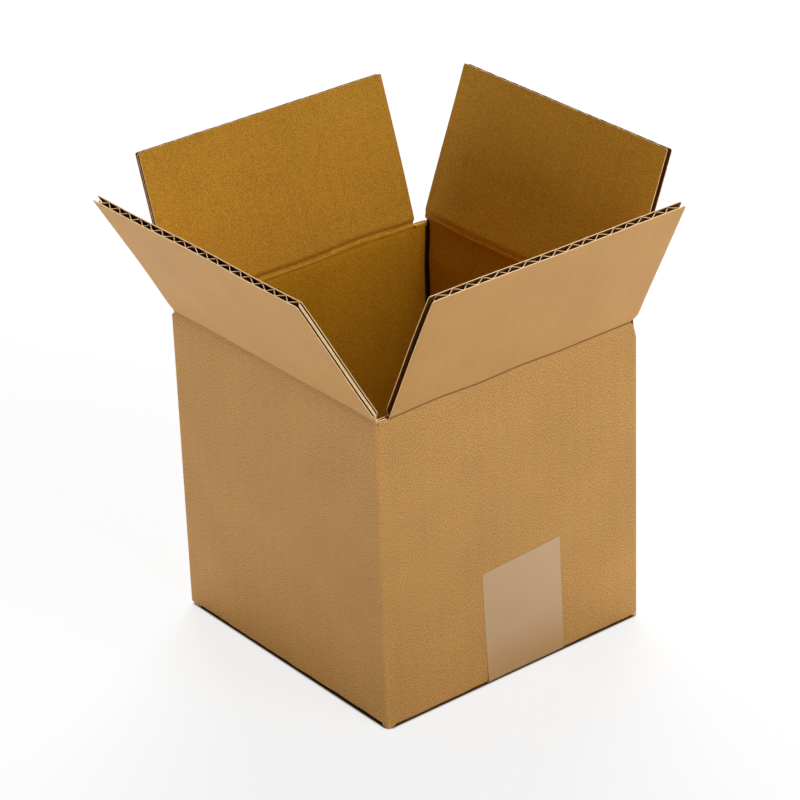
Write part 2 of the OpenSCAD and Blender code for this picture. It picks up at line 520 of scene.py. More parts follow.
    def wander(self, place: Array, beyond: Array) -> Array:
        """Returns how far the pressed line strays upwards from straight, dying out away from the crease."""
        near = self.from_root(beyond, 1.4) * (1.0 - smooth((beyond - 2.5) / 6.0))
        return self.stray * near * ripple(place, np.zeros_like(place), self.stray_swell, self.seed + 50)

    def depths(self, place: Array, beyond: Array) -> Pair:
        """Returns the depths of the outer and the inner face of the board.

        Args:
            place: Distance along the wall from its middle.
            beyond: Distance from the fold line.

        Returns:
            The depths of the two faces.
        """
        uneven = self.crinkle * ripple(place, np.zeros_like(place), self.crinkle_swell, self.seed)
        line = beyond - self.wander(place, beyond)
        dent = self.groove * np.exp(-((line - self.crinkle * uneven) / self.groove_width) ** 2)
        sag = self.sag * ripple(place, beyond, self.sag_swell, self.seed + 10)
        bow = sag * smooth(beyond / self.sag_fade)
        outer = self.rounding(place, beyond) + dent + bow
        change = 1.0 + self.crinkle * uneven * self.from_root(beyond, 1.2)
        inner = BOARD.thickness - (BOARD.thickness - self.crease.thickness(line)) * change + bow
        return outer, np.maximum(inner, outer + self.least_board * BOARD.liner)

    def points(self, share: Array, beyond: Array, face: float, inset: float) -> Array:
        """Returns points on one level of the board.

        Args:
            share: Shares of the width, of the same shape as beyond.
            beyond: Distances from the fold line.
            face: Level of the point: 0 is the outer face and 1 the inner one.
            inset: Depth added below that level.

        Returns:
            Places in millimetres.
        """
        place = self.place(share, beyond)
        outer, inner = self.depths(place, beyond)
        return self.folded(place, beyond, outer + (inner - outer) * face + inset)

    def sheet(self, share: Array, beyond: Array, depth: float) -> Array:
        """Returns places on the flat sheet, for the paper's grain.

        Args:
            share: Shares of the width.
            beyond: Distances from the fold line.
            depth: Distance in from the outer face.

        Returns:
            Places along the sheet, above the pressed line, and in from the outer face.
        """
        place = self.place(share, beyond)
        along = self.side.sheet_middle(self.half) + place
        return np.stack([along, beyond - self.wander(place, beyond), np.full_like(along, depth)], axis=-1)

    def trimmed(self, share: Array, rows: Array) -> Array:
        """Rounds the flap's two free corners by shortening the rows at its ends.

        Args:
            share: Shares of the width.
            rows: Distances from the fold line.

        Returns:
            Distances from the fold line, for each row and column.
        """
        from_end = np.minimum(share, 1.0 - share) * self.width
        missing = np.clip(self.tip_radius - from_end, 0.0, self.tip_radius)
        drop = self.tip_radius - np.sqrt(self.tip_radius ** 2 - missing ** 2)
        rough = self.cut_ragged * ripple(share * self.width, np.zeros_like(share), 3.0, self.seed + 20)
        last = smooth((rows - (self.reach - self.tip_fade)) / self.tip_fade)
        return rows[:, None] - (drop + rough) * last[:, None]

    def add_liners(self, mesh: BoardMesh) -> None:
        """Adds the outer and the inner liner, each as a thin closed plate.

        Args:
            mesh: Collects the faces.
        """
        share = near_ends(self.end_steps, self.width, self.spacing)
        beyond = self.trimmed(share, self.rows())
        share = np.broadcast_to(share, beyond.shape)
        for face, way, material in ((0.0, 1.0, OUTER), (1.0, -1.0, INNER)):
            insets = (0.0, way * BOARD.liner)
            faces = [self.points(share, beyond, face, inset) for inset in insets]
            sheets = [self.sheet(share, beyond, face * BOARD.thickness + inset) for inset in insets]
            # The liners' backs face the flutes and take the medium's finish, which is painted dark as shade.
            mesh.plate(faces, sheets, (material, MEDIUM_PAINTED_SHADE, CUT))

    def flute_turns(self) -> Pair:
        """Spreads the medium's columns over the flap's width.

        Returns:
            The columns as shares of the width, and their places on the wave, counted in flutes.
        """
        between = self.turns_at_end - self.turns_at_start
        flutes = round(self.width / BOARD.flute_pitch - between) + between
        share = np.linspace(0.0, 1.0, math.ceil(flutes * self.columns_per_flute) + 1)
        first, last = BOARD.uneven(np.zeros(1)), BOARD.uneven(np.array([flutes]))
        turns = self.turns_at_start + BOARD.uneven(share * flutes)
        return share, turns - first - share * (last - first - flutes)

    def add_medium(self, mesh: BoardMesh) -> None:
        """Adds the wavy medium between the liners, a little short of their cut edges.

        Args:
            mesh: Collects the faces.
        """
        share, turns = self.flute_turns()
        rows = np.array([row for row in self.rows()[::2] if row < self.reach - 1.0] + [self.reach])
        beyond = self.trimmed(share, rows)
        rough = ripple(turns, np.zeros_like(turns), 1.3, self.seed + 30)
        shortfall = self.tip_inset + self.tip_ragged * rough
        beyond = beyond - smooth((rows - self.reach + 3.0) / 3.0)[:, None] * shortfall
        kept = np.linspace(self.recess_start / self.width, 1.0 - self.recess_end / self.width, len(share))
        turns = np.interp(kept, share, turns)
        share = np.broadcast_to(kept, beyond.shape)
        place = self.place(share, beyond)
        outer, inner = self.depths(place, beyond)
        room = inner - outer - 2.0 * BOARD.liner
        frayed = self.fray_end * smooth((share - 1.0 + self.fray_width / self.width) * self.width)
        thickness = np.minimum(BOARD.medium + frayed, self.fullest_medium * room)
        middle = outer + BOARD.liner + room / 2.0 + BOARD.wave(turns) * (room - thickness) / 2.0
        faces = [self.folded(place, beyond, middle + way * thickness) for way in (-0.5, 0.5)]
        sheet = self.sheet(share, beyond, BOARD.thickness / 2.0)
        mesh.plate(faces, (sheet, sheet), (MEDIUM_PAINTED_SHADE, MEDIUM_PAINTED_SHADE, CUT))

    def build(self, materials: Materials) -> bpy.types.Object:
        """Makes the flap, bent about its crease at its lean.

        Args:
            materials: Outer liner, inner liner, medium painted dark as flute shade, and cut edge.

        Returns:
            The finished piece.
        """
        mesh = BoardMesh()
        self.add_liners(mesh)
        self.add_medium(mesh)
        piece = mesh.build(self.piece, materials)
        outward = self.side.outward
        fold = Vector((outward[0] * self.half, outward[1] * self.half, self.fold_z)) * MM
        sideways = math.sin(self.lean / 2.0)
        way = Vector((outward[0] * sideways, outward[1] * sideways, math.cos(self.lean / 2.0)))
        span = way * (self.bend * self.bend_share * MM)
        fold - span
        fold + span
        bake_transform(piece)
        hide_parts(self.node)
        return piece


@dataclass(frozen=True)
class FootShape:
    """The section of a foot and bottom flap past the round outer foot."""

    gap: float
    boards: int
    outer: Outline
    bend: Outline
    landing: float
    inner: Tuple[float, ...]


END_FOOT = FootShape(
    gap=0.75,
    boards=2,
    outer=[(3.9, 0.0), (4.25, 0.5), (4.3, 1.9), (4.4, 3.1), (5.2, 3.5), (12.0, 3.5), (40.0, 3.5)],
    bend=[(0.0, 7.95), (0.05, 7.75), (0.2, 7.45), (0.45, 7.25)],
    landing=0.8,
    inner=(4.7, 5.2, 5.8, 6.4, 7.2, 8.0, 9.0, 10.0, 12.0, 14.0, 40.0),
)
SIDE_FOOT = FootShape(
    gap=0.4,
    boards=1,
    outer=[(4.4, 0.0), (8.0, 0.0), (20.0, 0.0)],
    bend=[(0.0, 7.5), (0.0, 6.5), (0.0, 5.5), (0.02, 4.6), (0.15, 4.2), (0.35, 3.9)],
    landing=0.7,
    inner=(4.6, 5.4, 6.4, 10.0, 20.0),
)


@dataclass
class Column:
    """One upright line of the folded walls, seen in plan.

    Its corner is -1 beside a wall's left corner, 1 beside its right one and 0 on the flat.
    """

    side: Side
    outer: Tuple[float, float]
    inner_turn: float
    place: float
    corner: int = 0
    pinch: float = 0.0


@dataclass
class CartonWalls:
    """The folded sheet: four walls, glue tab and four bottom flaps."""

    half: float
    bow: WallBow
    fold_z: Mapping[Side, float]
    slot_ends: Mapping[Side, float]
    slot_lift: float = 1.25
    slot_fade: float = 1.5
    corner_radius: float = 2.4
    corner_flats: Tuple[float, ...] = (6.9, 6.2, 5.5, 4.9)
    corner_bends: Tuple[float, ...] = (3.7, 3.0)
    corner_angles: Tuple[float, ...] = (0.0, 11.25, 22.5, 33.75, 45.0)
    spacing: float = 4.4
    foot_radius: float = 2.6
    leg_z: float = 0.25
    leg_rise: float = 1.1
    inner_low: float = 8.0
    shoulder: float = 4.0
    shoulder_pull: float = 0.7
    cleft: float = 0.9
    cleft_share: float = 0.72
    foot_trim: float = 4.35
    glue_foot: float = 9.0
    raw_edge: float = 0.5
    glue_gap: float = 0.05
    tab_width: float = 33.0
    tab_low: float = 8.0
    tab_drop: float = 17.0
    tab_slope: float = 9.0
    tab_clear: float = 1.5
    tab_cleft: float = 1.4
    pocket_depth: float = 8.0
    pocket_levels: Tuple[float, ...] = (0.0, 1.5, 4.0)
    crushed_inset: float = 0.15
    crushed_share: float = 0.55
    crushed: float = 1.3
    crushed_stretch: float = 2.2
    pinch: Mapping[Side, float] = field(default_factory=lambda: {Side.FRONT: 1.5, Side.RIGHT: 0.8})
    pinch_height: float = 9.0
    pinch_before: float = 3.9
    pinch_after: float = 7.0
    fold_stretch: float = 1.5
    wander: float = 0.16
    foot_swell: float = 16.0
    least_lift: float = 0.12
    corner_lift: float = 0.12
    left_corner_lift: float = 0.55
    row_marks: Tuple[float, ...] = (
        4.5, 7.0, 11.0, 20.0, 34.0, 50.0, 66.0, 82.0, 98.0, 114.0, 128.0, 138.0, 143.0, 146.5, 149.0, 151.0,
        152.6, 154.0, 155.3, 156.5, 157.7, 158.8, 159.8, 160.7, 161.4,
    )
    sheet: Array = field(init=False)

    @property
    def low(self) -> float:
        """Height at which the round foot ends and the flat wall begins."""
        return UNDERSIDE + self.foot_radius

    @property
    def tab_turn(self) -> float:
        """Distance from the left wall's face at which the back wall turns towards the glue tab."""
        return 2.0 * BOARD.thickness + self.shoulder

    def heights(self) -> Array:
        """Heights of the rows, as shares from the foot to the top of the walls."""
        return (np.array([self.low, *self.row_marks, SLOT_FLOOR]) - self.low) / (SLOT_FLOOR - self.low)

    def thickness(self, side: Side, height: Array, place: float) -> Array:
        """Returns a wall's thickness, which is the full board's under the slots of the end walls.

        Args:
            side: The wall.
            height: Heights above the floor.
            place: Distance along the wall from its middle.

        Returns:
            The thickness at each height.
        """
        if not side.is_end:
            return SIDE_CREASE.thickness(height - self.fold_z[side])
        pressed = END_CREASE.thickness(height - self.fold_z[side])
        full = float(smooth((self.slot_ends[side] + self.slot_fade - place) / self.slot_fade))
        return pressed + (BOARD.thickness - pressed) * full

    def corner_columns(self, side: Side, corner: int, pinch: float, reach: float) -> List[Column]:
        """Makes the columns from a wall's flat to the middle of a round corner.

        Args:
            side: The wall.
            corner: 1 for the wall's right corner, seen from outside, and -1 for its left one.
            pinch: How far the corner's top is pinched in.
            reach: Distance from the corner over which the pinch fades out.

        Returns:
            The columns, in order along the wall.
        """
        r = self.corner_radius
        flats = [BOARD.thickness + self.shoulder, *self.corner_flats, self.foot_trim, *self.corner_bends]
        outline = [(flat, 0.0) for flat in flats]
        outline += [(r - r * math.sin(a), r - r * math.cos(a)) for a in map(math.radians, self.corner_angles)]
        columns = []
        for number, (away, depth) in enumerate(outline):
            place = corner * (self.half - away)
            share = float(smooth(1.0 - away / reach))
            turn = number / (len(outline) - 1)
            columns.append(Column(side, (place, depth), turn, place, corner, pinch * share))
        return columns[::corner]

    def flat_columns(self, side: Side, low: float, high: float, marks: Sequence[float]) -> List[Column]:
        """Makes the columns of the flat of a wall, without its two ends.

        Args:
            side: The wall.
            low: Where the flat begins.
            high: Where it ends.
            marks: Places that need a column of their own.

        Returns:
            The columns, in order along the wall.
        """
        clear = 1.2
        count = max(3, round((high - low) / self.spacing))
        places = set(np.round(np.linspace(low, high, count + 1)[1:-1], 3))
        places = {place for place in places if all(abs(place - mark) > clear for mark in marks)}
        return [Column(side, (place, 0.0), 0.0, place) for place in sorted(places | set(marks))]

    def columns(self) -> List[Column]:
        """Makes every column but the glue tab's.

        Returns:
            The columns, from the raw edge of the left wall round to the corner of the glue tab.
        """
        flat_end = self.half - BOARD.thickness - self.shoulder
        columns: List[Column] = []
        for side in Side:
            low, high = -flat_end, flat_end
            marks = [self.slot_ends[side]] if side in self.slot_ends else []
            if side is Side.LEFT:
                low = self.raw_edge - self.half
                marks = [self.glue_foot - self.half]
                columns.append(Column(side, (low, 0.0), 0.0, low))
            else:
                pinch = self.pinch.get(side.neighbour(-1), 0.0)
                columns += self.corner_columns(side, -1, pinch, self.pinch_after)
            if side is Side.BACK:
                high = self.half - self.tab_turn
                marks = marks + [high - self.tab_clear]
            columns += self.flat_columns(side, low, high, marks)
            if side is not Side.BACK:
                columns += self.corner_columns(side, 1, self.pinch.get(side, 0.0), self.pinch_before)
        return columns

    def clefted(self, thickness: Array) -> Array:
        """Returns how deep the sharp cleft inside a corner lies, for a wall's thickness."""
        return thickness + (self.cleft - thickness) * self.cleft_share

    def inner_point(self, column: Column, height: Array) -> Pair:
        """Returns where a column's inner point is.

        Args:
            column: The column.
            height: Heights of its rows.

        Returns:
            Places along the wall and depths below its face.
        """
        own = self.thickness(column.side, height, column.place)
        if not column.corner:
            return np.full_like(height, column.place), own
        other = self.thickness(column.side.neighbour(column.corner), height, -column.corner * self.half)
        begin, middle, last = handles(column.inner_turn)
        away = begin * (other + self.shoulder) + middle * (other + self.shoulder_pull)
        away = away + last * self.clefted(other)
        depth = begin * own + middle * own + last * self.clefted(own)
        return column.corner * (self.half - away), depth

    def pinched(self, column: Column, flat: Array, height: Array) -> Array:
        """Pushes the top of a corner in, as the free end of a crease springs.

        Args:
            column: The column.
            flat: X and Y of its rows.
            height: Heights of its rows.

        Returns:
            X and Y with the push.
        """
        if column.pinch == 0.0:
            return flat
        outward = np.array(column.side.outward, float)
        around = np.array(column.side.along, float) * column.corner
        amount = column.pinch * smooth((height - SLOT_FLOOR + self.pinch_height) / self.pinch_height)
        return flat - (outward + around) * (amount / math.sqrt(2.0))[:, None]

    def upright(self, column: Column, place: Array, depth: Array, height: Array) -> Array:
        """Returns the points of one upright line of a wall, pushed in where the corner is pinched."""
        flat = column.side.flat_point(self.half, place, depth)
        return np.column_stack([self.pinched(column, flat, height), height])

    def sheet_line(self, side: Side, place: Array, height: Array, depth: float) -> Array:
        """Returns the sheet places of one upright line of a wall.

        Args:
            side: The wall.
            place: Distances along the wall.
            height: Heights above the floor.
            depth: Distance in from the outer face.

        Returns:
            Places along the sheet, above the fold and in from the outer face.
        """
        beyond = height - self.fold_z[side]
        along = side.sheet_middle(self.half) + place
        return np.column_stack([along + 0 * beyond, beyond, 0 * beyond + depth])

    def surfaces(self, columns: Sequence[Column]) -> Tuple[Array, ...]:
        """Works out the outer and the inner face of the walls.

        Args:
            columns: The columns.

        Returns:
            Points of the outer face, points of the inner face, and the sheet places of both.
        """
        shares = self.heights()
        outer_z = self.low + (SLOT_FLOOR - self.low) * shares
        inner_z = self.inner_low + (SLOT_FLOOR - self.inner_low) * shares
        outer, inner, outer_sheet, inner_sheet = [], [], [], []
        for column in columns:
            side = column.side
            bow = self.bow.at(side, np.full_like(outer_z, column.place), outer_z)
            across = np.full_like(outer_z, column.outer[0])
            outer.append(self.upright(column, across, column.outer[1] - bow, outer_z))
            place, depth = self.inner_point(column, inner_z)
            inner.append(self.upright(column, place, depth - bow, inner_z))
            outer_sheet.append(self.sheet_line(side, column.place, outer_z, 0.0))
            inner_sheet.append(self.sheet_line(side, place, inner_z, BOARD.thickness))
        return tuple(np.stack(part, axis=1) for part in (outer, inner, outer_sheet, inner_sheet))

    def tab_outline(self) -> Tuple[Outline, int]:
        """Draws the back wall's turn into the left wall and the tab, in plan.

        Returns:
            Distances in from the left wall's face and depths below the back wall's face, and the number of
            the point in the middle of the turn.
        """
        t, r = BOARD.thickness, self.corner_radius
        fold = t + self.glue_gap
        turned = [(fold + r - r * math.sin(a), r - r * math.cos(a)) for a in np.radians(range(0, 91, 15))]
        first = [(fold + 5.0, 0.0)] + turned[:4]
        second = turned[4:] + [(fold, t + 1.6), (fold, t + self.shoulder)]
        run = [(fold, t + d) for d in np.linspace(self.shoulder, self.tab_width, 9)[1:]]
        return [(self.tab_turn, 0.0)] + first + second + run, len(first)

    def tab_inner(self, turned: float, depth: float, own: Array) -> Tuple[Array, Array]:
        """Returns where the inner face of the tab's corner is.

        Args:
            turned: How far round the corner: 0 at its start, 1 in its middle, 2 at its end, more on the tab.
            depth: Depth of the outer face.
            own: Thickness of the back wall at each row.

        Returns:
            Distances in from the left wall's face and depths below the back wall's face.
        """
        t = BOARD.thickness
        cleft_away = t + self.glue_gap + self.tab_cleft
        if turned > 2.0:
            return 2.0 * t, depth
        begin, middle, last = handles(min(turned, 2.0 - turned))
        if turned <= 1.0:
            away = begin * self.tab_turn + middle * (2.0 * t + self.shoulder_pull) + last * cleft_away
            return away, (begin + middle) * own + last * self.clefted(own)
        away = (begin + middle) * 2.0 * t + last * cleft_away
        depth = begin * (t + self.shoulder) + middle * (own + self.shoulder_pull)
        return away, depth + last * self.clefted(own)

    def tab_surfaces(self) -> Tuple[Array, ...]:
        """Works out the corner beside the glue joint and the tab, as a run of the back wall.

        Returns:
            Points of the face towards the left wall, points of the other face, and the sheet places.
        """
        side, top, shares = Side.BACK, SLOT_FLOOR, self.heights()
        outline, count = self.tab_outline()
        ends = [(self.low, top)] * (count + 4) + [(7.4, top - 11.0), (self.tab_low, top - self.tab_drop)]
        ends += [(self.tab_low + self.tab_slope * d, top - self.tab_drop - self.tab_slope * d)
                 for d in np.linspace(0.0, 1.0, 9)[1:]]
        faces, backs, sheets = [], [], []
        travelled = self.half - self.tab_turn
        previous = outline[0]
        for number, ((away, depth), (bottom, high)) in enumerate(zip(outline, ends)):
            height = bottom + (high - bottom) * shares
            low_inner = max(bottom, self.inner_low)
            inner_height = low_inner + (high - low_inner) * shares
            own = self.thickness(side, inner_height, self.half)
            turned = number / count if number <= count else 1.0 + (number - count) / 5.0
            inner_away, inner_depth = self.tab_inner(turned, depth, own)
            travelled += math.dist(previous, (away, depth))
            previous = (away, depth)
            flat = side.flat_point(self.half, np.full_like(height, self.half - away), depth)
            faces.append(np.column_stack([flat, height]))
            flat = side.flat_point(self.half, self.half - inner_away + 0 * height, inner_depth)
            backs.append(np.column_stack([flat, inner_height]))
            sheets.append(self.sheet_line(side, travelled, height, 0.0))
        return tuple(np.stack(part, axis=1) for part in (faces, backs, sheets))

    def add_walls(self, mesh: BoardMesh, columns: Sequence[Column]) -> Pair:
        """Adds the walls and the glue tab, and returns the whole outer and inner face.

        Args:
            mesh: Collects the faces.
            columns: The columns of the walls.

        Returns:
            Points of the outer and the inner face.
        """
        outer, inner, outer_sheet, inner_sheet = self.surfaces(columns)
        face, back, sheet = self.tab_surfaces()
        outer = np.concatenate([outer, face], axis=1)
        inner = np.concatenate([inner, back], axis=1)
        outer_sheet = np.concatenate([outer_sheet, sheet], axis=1)
        inner_sheet = np.concatenate([inner_sheet, sheet + np.array([0.0, 0.0, BOARD.thickness])], axis=1)
        mesh.grid(outer, outer_sheet, OUTER)
        mesh.grid(inner, inner_sheet, INNER)
        self.sheet = outer_sheet
        for edge in (0, -1):
            lines = [part[:, edge] for part in (outer, inner, outer_sheet, inner_sheet)]
            self.add_cut_edge(mesh, *lines)
        return outer, inner

    def add_cut_edge(self, mesh: BoardMesh, outer: Array, inner: Array, one: Array, other: Array) -> None:
        """Adds a cut edge along the flutes: two liners with a flat strip of the dark medium finish between
        them, painted shade that stands in for the open channel.

        Args:
            mesh: Collects the faces.
            outer: Line of the outer face.
            inner: Line of the inner face.
            one: Sheet places of the outer line.
            other: Sheet places of the inner line.
        """
        share = BOARD.liner / BOARD.thickness
        lines = [outer, outer + (inner - outer) * share, outer + (inner - outer) * (1.0 - share), inner]
        mesh.strip(lines[0], lines[1], one, one, CUT)
        mesh.strip(lines[2], lines[3], other, other, CUT)
        # Painted shade: a flat dark strip closes the channel between the liners.
        mesh.strip(lines[1], lines[2], one, other, MEDIUM_PAINTED_SHADE)

    def add_rim(self, mesh: BoardMesh, outer: Array, inner: Array, columns: Sequence[Column]) -> None:
        """Adds the top edge of the walls, with open flutes at the bottom of the slots.

        Args:
            mesh: Collects the faces.
            outer: Points of the outer face.
            inner: Points of the inner face.
            columns: The columns of the walls.
        """
        open_columns = np.zeros(outer.shape[1], bool)
        for number, column in enumerate(columns):
            limit = self.slot_ends.get(column.side)
            open_columns[number] = limit is not None and column.place <= limit + SAME_PLACE
        top_outer, top_inner, sheet = outer[-1], inner[-1], self.sheet[-1]
        for number in range(outer.shape[1] - 1):
            pair = slice(number, number + 2)
            if not open_columns[pair].all():
                mesh.strip(top_outer[pair], top_inner[pair], sheet[pair], sheet[pair], INNER)
        numbers = np.flatnonzero(open_columns)
        for run in np.split(numbers, np.flatnonzero(np.diff(numbers) > 1) + 1):
            edge = OUTER if columns[run[0]].side is Side.FRONT else INNER
            self.add_pocket(mesh, top_outer[run], top_inner[run], sheet[run], edge)

    def add_pocket(self, mesh: BoardMesh, outer: Array, inner: Array, sheet: Array, edge: int) -> None:
        """Adds the open flutes at the bottom of one slot.

        Args:
            mesh: Collects the faces.
            outer: Top line of the outer face over the slot's width.
            inner: Top line of the inner face.
            sheet: Sheet places of that line.
            edge: Material slot of the cut liners.
        """
        lift = np.array([0.0, 0.0, self.slot_lift])
        mesh.strip(outer, outer + lift, sheet, sheet, OUTER)
        mesh.strip(inner, inner + lift, sheet, sheet, INNER)
        for end in (0, -1):
            corners = np.stack([outer[end], inner[end]])
            mesh.strip(corners, corners + lift, sheet[[end, end]], sheet[[end, end]], INNER)
        outer, inner = outer + lift, inner + lift
        gap = inner - outer
        width = np.linalg.norm(gap, axis=1, keepdims=True)
        one = outer + gap * (BOARD.liner / width)
        other = inner - gap * (BOARD.liner / width)
        mesh.strip(outer, one, sheet, sheet, OUTER)
        mesh.strip(other, inner, sheet, sheet, CUT if edge == OUTER else INNER)
        down = np.array([0.0, 0.0, -1.0])
        levels = np.array([*self.pocket_levels, self.pocket_depth])[:, None, None] * down
        # The flute channels below the slot floor are plates of the dark medium finish, as painted shade of
        # the open flutes.
        mesh.plate((one + levels, other + levels), (sheet, sheet), (MEDIUM_PAINTED_SHADE, MEDIUM_PAINTED_SHADE, MEDIUM_PAINTED_SHADE), "first")
        self.add_crushed_flutes(mesh, one, other, sheet, edge)

    def add_crushed_flutes(self, mesh: BoardMesh, one: Array, other: Array, sheet: Array, edge: int) -> None:
        """Adds the medium that shows between the liners at the bottom of a slot.

        Args:
            mesh: Collects the faces.
            one: Line along the outer liner.
            other: Line along the inner liner.
            sheet: Sheet places of those lines.
            edge: Material slot of the cut medium.
        """
        travelled = np.concatenate([[0.0], np.cumsum(np.linalg.norm(np.diff(one, axis=0), axis=1))])
        count = max(8, round(travelled[-1] / BOARD.flute_pitch * 20))
        fine = np.linspace(self.crushed_inset, travelled[-1] - self.crushed_inset, count)
        one, other, sheet = (
            np.stack([np.interp(fine, travelled, line[:, axis]) for axis in range(3)], axis=-1)
            for line in (one, other, sheet)
        )
        room = np.linalg.norm(other - one, axis=1, keepdims=True)
        swing = BOARD.wave(fine / (BOARD.flute_pitch * self.crushed_stretch) + 0.2)[:, None]
        thickness = np.minimum(self.crushed, self.crushed_share * room)
        share = 0.5 + 0.5 * swing * (room - thickness) / room / 2.0
        levels = np.array([0.12, 2.0, self.pocket_depth - 0.3])[:, None, None] * np.array([0.0, 0.0, -1.0])
        faces = [one + (other - one) * (share + way * thickness / room) + levels for way in (-0.5, 0.5)]
        mesh.plate(faces, (sheet, sheet), (MEDIUM_PAINTED_SHADE, MEDIUM_PAINTED_SHADE, edge))

    def flap_ranges(self) -> Mapping[Side, Tuple[float, float]]:
        """Finds where each bottom flap begins and ends along its wall.

        Returns:
            The two places for each wall.
        """
        edge = self.half - self.foot_trim
        ranges = {side: (-edge, edge) for side in Side}
        ranges[Side.LEFT] = (self.glue_foot - self.half, edge)
        ranges[Side.BACK] = (-edge, self.half - self.tab_turn - self.tab_clear)
        return ranges

    def foot_outline(self, side: Side) -> Tuple[Outline, Outline]:
        """Draws a foot and bottom flap from the side.

        Args:
            side: The wall that it hangs on.

        Returns:
            The outer and the inner outline, of equal length, as depths and heights.
        """
        r, t, z = self.foot_radius, BOARD.thickness, UNDERSIDE
        shape = END_FOOT if side.is_end else SIDE_FOOT
        length = self.half - shape.gap
        outer = [(r - r * math.cos(a), z + r - r * math.sin(a)) for a in FOLD_ANGLES]
        outer += [(depth, z + up) for depth, up in shape.outer + [(length, shape.outer[-1][1])]]
        inner = [(t + away, height) for away, height in shape.bend]
        inner += [(depth, z + shape.boards * t) for depth in (t + shape.landing, *shape.inner, length)]
        return outer, inner

    def travelled(self, outline: Outline) -> Array:
        """Measures a foot's outline on the sheet, where the tight fold takes up more paper.

        Args:
            outline: Depths and heights from the wall to the flap's free edge.

        Returns:
            How far each point lies down the sheet, as a shift of its sheet place.
        """
        steps = np.hypot(*np.diff(np.array(outline), axis=0).T)
        passed = np.concatenate([[0.0], np.cumsum(np.maximum(steps, self.fold_stretch))])
        return passed[:, None, None] * np.array([0.0, -1.0, 0.0])

    def foot_lift(self, side: Side, place: Array) -> Array:
        """Returns how far a wall's foot stands off the floor.

        Args:
            side: The wall.
            place: Distances along the wall from its middle.

        Returns:
            The lift, which dies out at the front foot's right end.
        """
        wander = self.wander * ripple(place, 0 * place, self.foot_swell, 60 + side.value) + self.least_lift
        corner_lift = self.left_corner_lift if side is Side.LEFT else self.corner_lift
        corner_lift = corner_lift * smooth((place + 20.0) / 90.0)
        lift = np.maximum(wander + corner_lift, 0.0)
        if side is Side.FRONT:
            lift = lift * (1.0 - smooth((place - self.half + 17.0) / 6.0))
        return lift

    def add_feet(self, mesh: BoardMesh, outer: Array, inner: Array, columns: Sequence[Column]) -> None:
        """Adds each wall's round foot with its bottom flap.

        Args:
            mesh: Collects the faces.
            outer: Points of the outer face of the walls.
            inner: Points of the inner face of the walls.
            columns: The columns of the walls.
        """
        for side, (low, high) in self.flap_ranges().items():
            picked = [
                number for number, column in enumerate(columns)
                if column.side is side and low - SAME_PLACE <= column.place <= high + SAME_PLACE
            ]
            place = outer[0, picked, 0] * side.along[0] + outer[0, picked, 1] * side.along[1]
            lift = self.foot_lift(side, place)
            faces, sheets = [], []
            for outline, first in zip(self.foot_outline(side), (outer[0, picked], inner[0, picked])):
                rows = [first]
                for depth, height in outline[1:]:
                    fade = (1.0 - smooth((height - 1.0) / 3.0)) * (1.0 - smooth((depth - 1.0) / 14.0))
                    flat = side.flat_point(self.half, place, depth)
                    rows.append(np.column_stack([flat, height + lift * fade]))
                faces.append(np.stack(rows))
                sheets.append(self.sheet[0, picked] + self.travelled(outline))
            mesh.plate(faces, sheets, (OUTER, INNER, CUT), "first")

    def add_legs(self, mesh: BoardMesh, outer: Array, inner: Array, columns: Sequence[Column]) -> None:
        """Adds the short legs at the corners, between one bottom flap and the next.

        Args:
            mesh: Collects the faces.
            outer: Points of the outer face of the walls.
            inner: Points of the inner face of the walls.
            columns: The columns of the walls.
        """
        ranges = self.flap_ranges()
        tab_corner_end = len(columns) + 9
        flagged = np.arange(outer.shape[1]) <= tab_corner_end
        for number, column in enumerate(columns):
            low, high = ranges[column.side]
            flagged[number] = column.place <= low + SAME_PLACE or column.place >= high - SAME_PLACE
        numbers = np.flatnonzero(flagged)
        for run in np.split(numbers, np.flatnonzero(np.diff(numbers) > 1) + 1):
            faces = []
            across = np.abs(np.linspace(-1.0, 1.0, len(run)))
            bottom = self.leg_z + self.leg_rise * across ** 3
            for line in (outer[0, run], inner[0, run]):
                levels = [line]
                for share in (0.6, 0.9, 1.0):
                    lower = line.copy()
                    lower[:, 2] = line[:, 2] + (bottom - line[:, 2]) * share
                    levels.append(lower)
                faces.append(np.stack(levels))
            sheet = self.sheet[0, run]
            mesh.plate(faces, (sheet, sheet), (OUTER, INNER, CUT), "first")

    def build(self, materials: Materials) -> bpy.types.Object:
        """Makes the folded walls.

        Args:
            materials: Outer liner, inner liner, medium painted dark as flute shade, and cut edge.

        Returns:
            The finished piece.
        """
        mesh = BoardMesh()
        columns = self.columns()
        outer, inner = self.add_walls(mesh, columns)
        self.add_rim(mesh, outer, inner, columns)
        self.add_feet(mesh, outer, inner, columns)
        self.add_legs(mesh, outer, inner, columns)
        piece = mesh.build("folded_walls", materials)
        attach(piece, "carton")
        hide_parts("carton_body")
        return piece


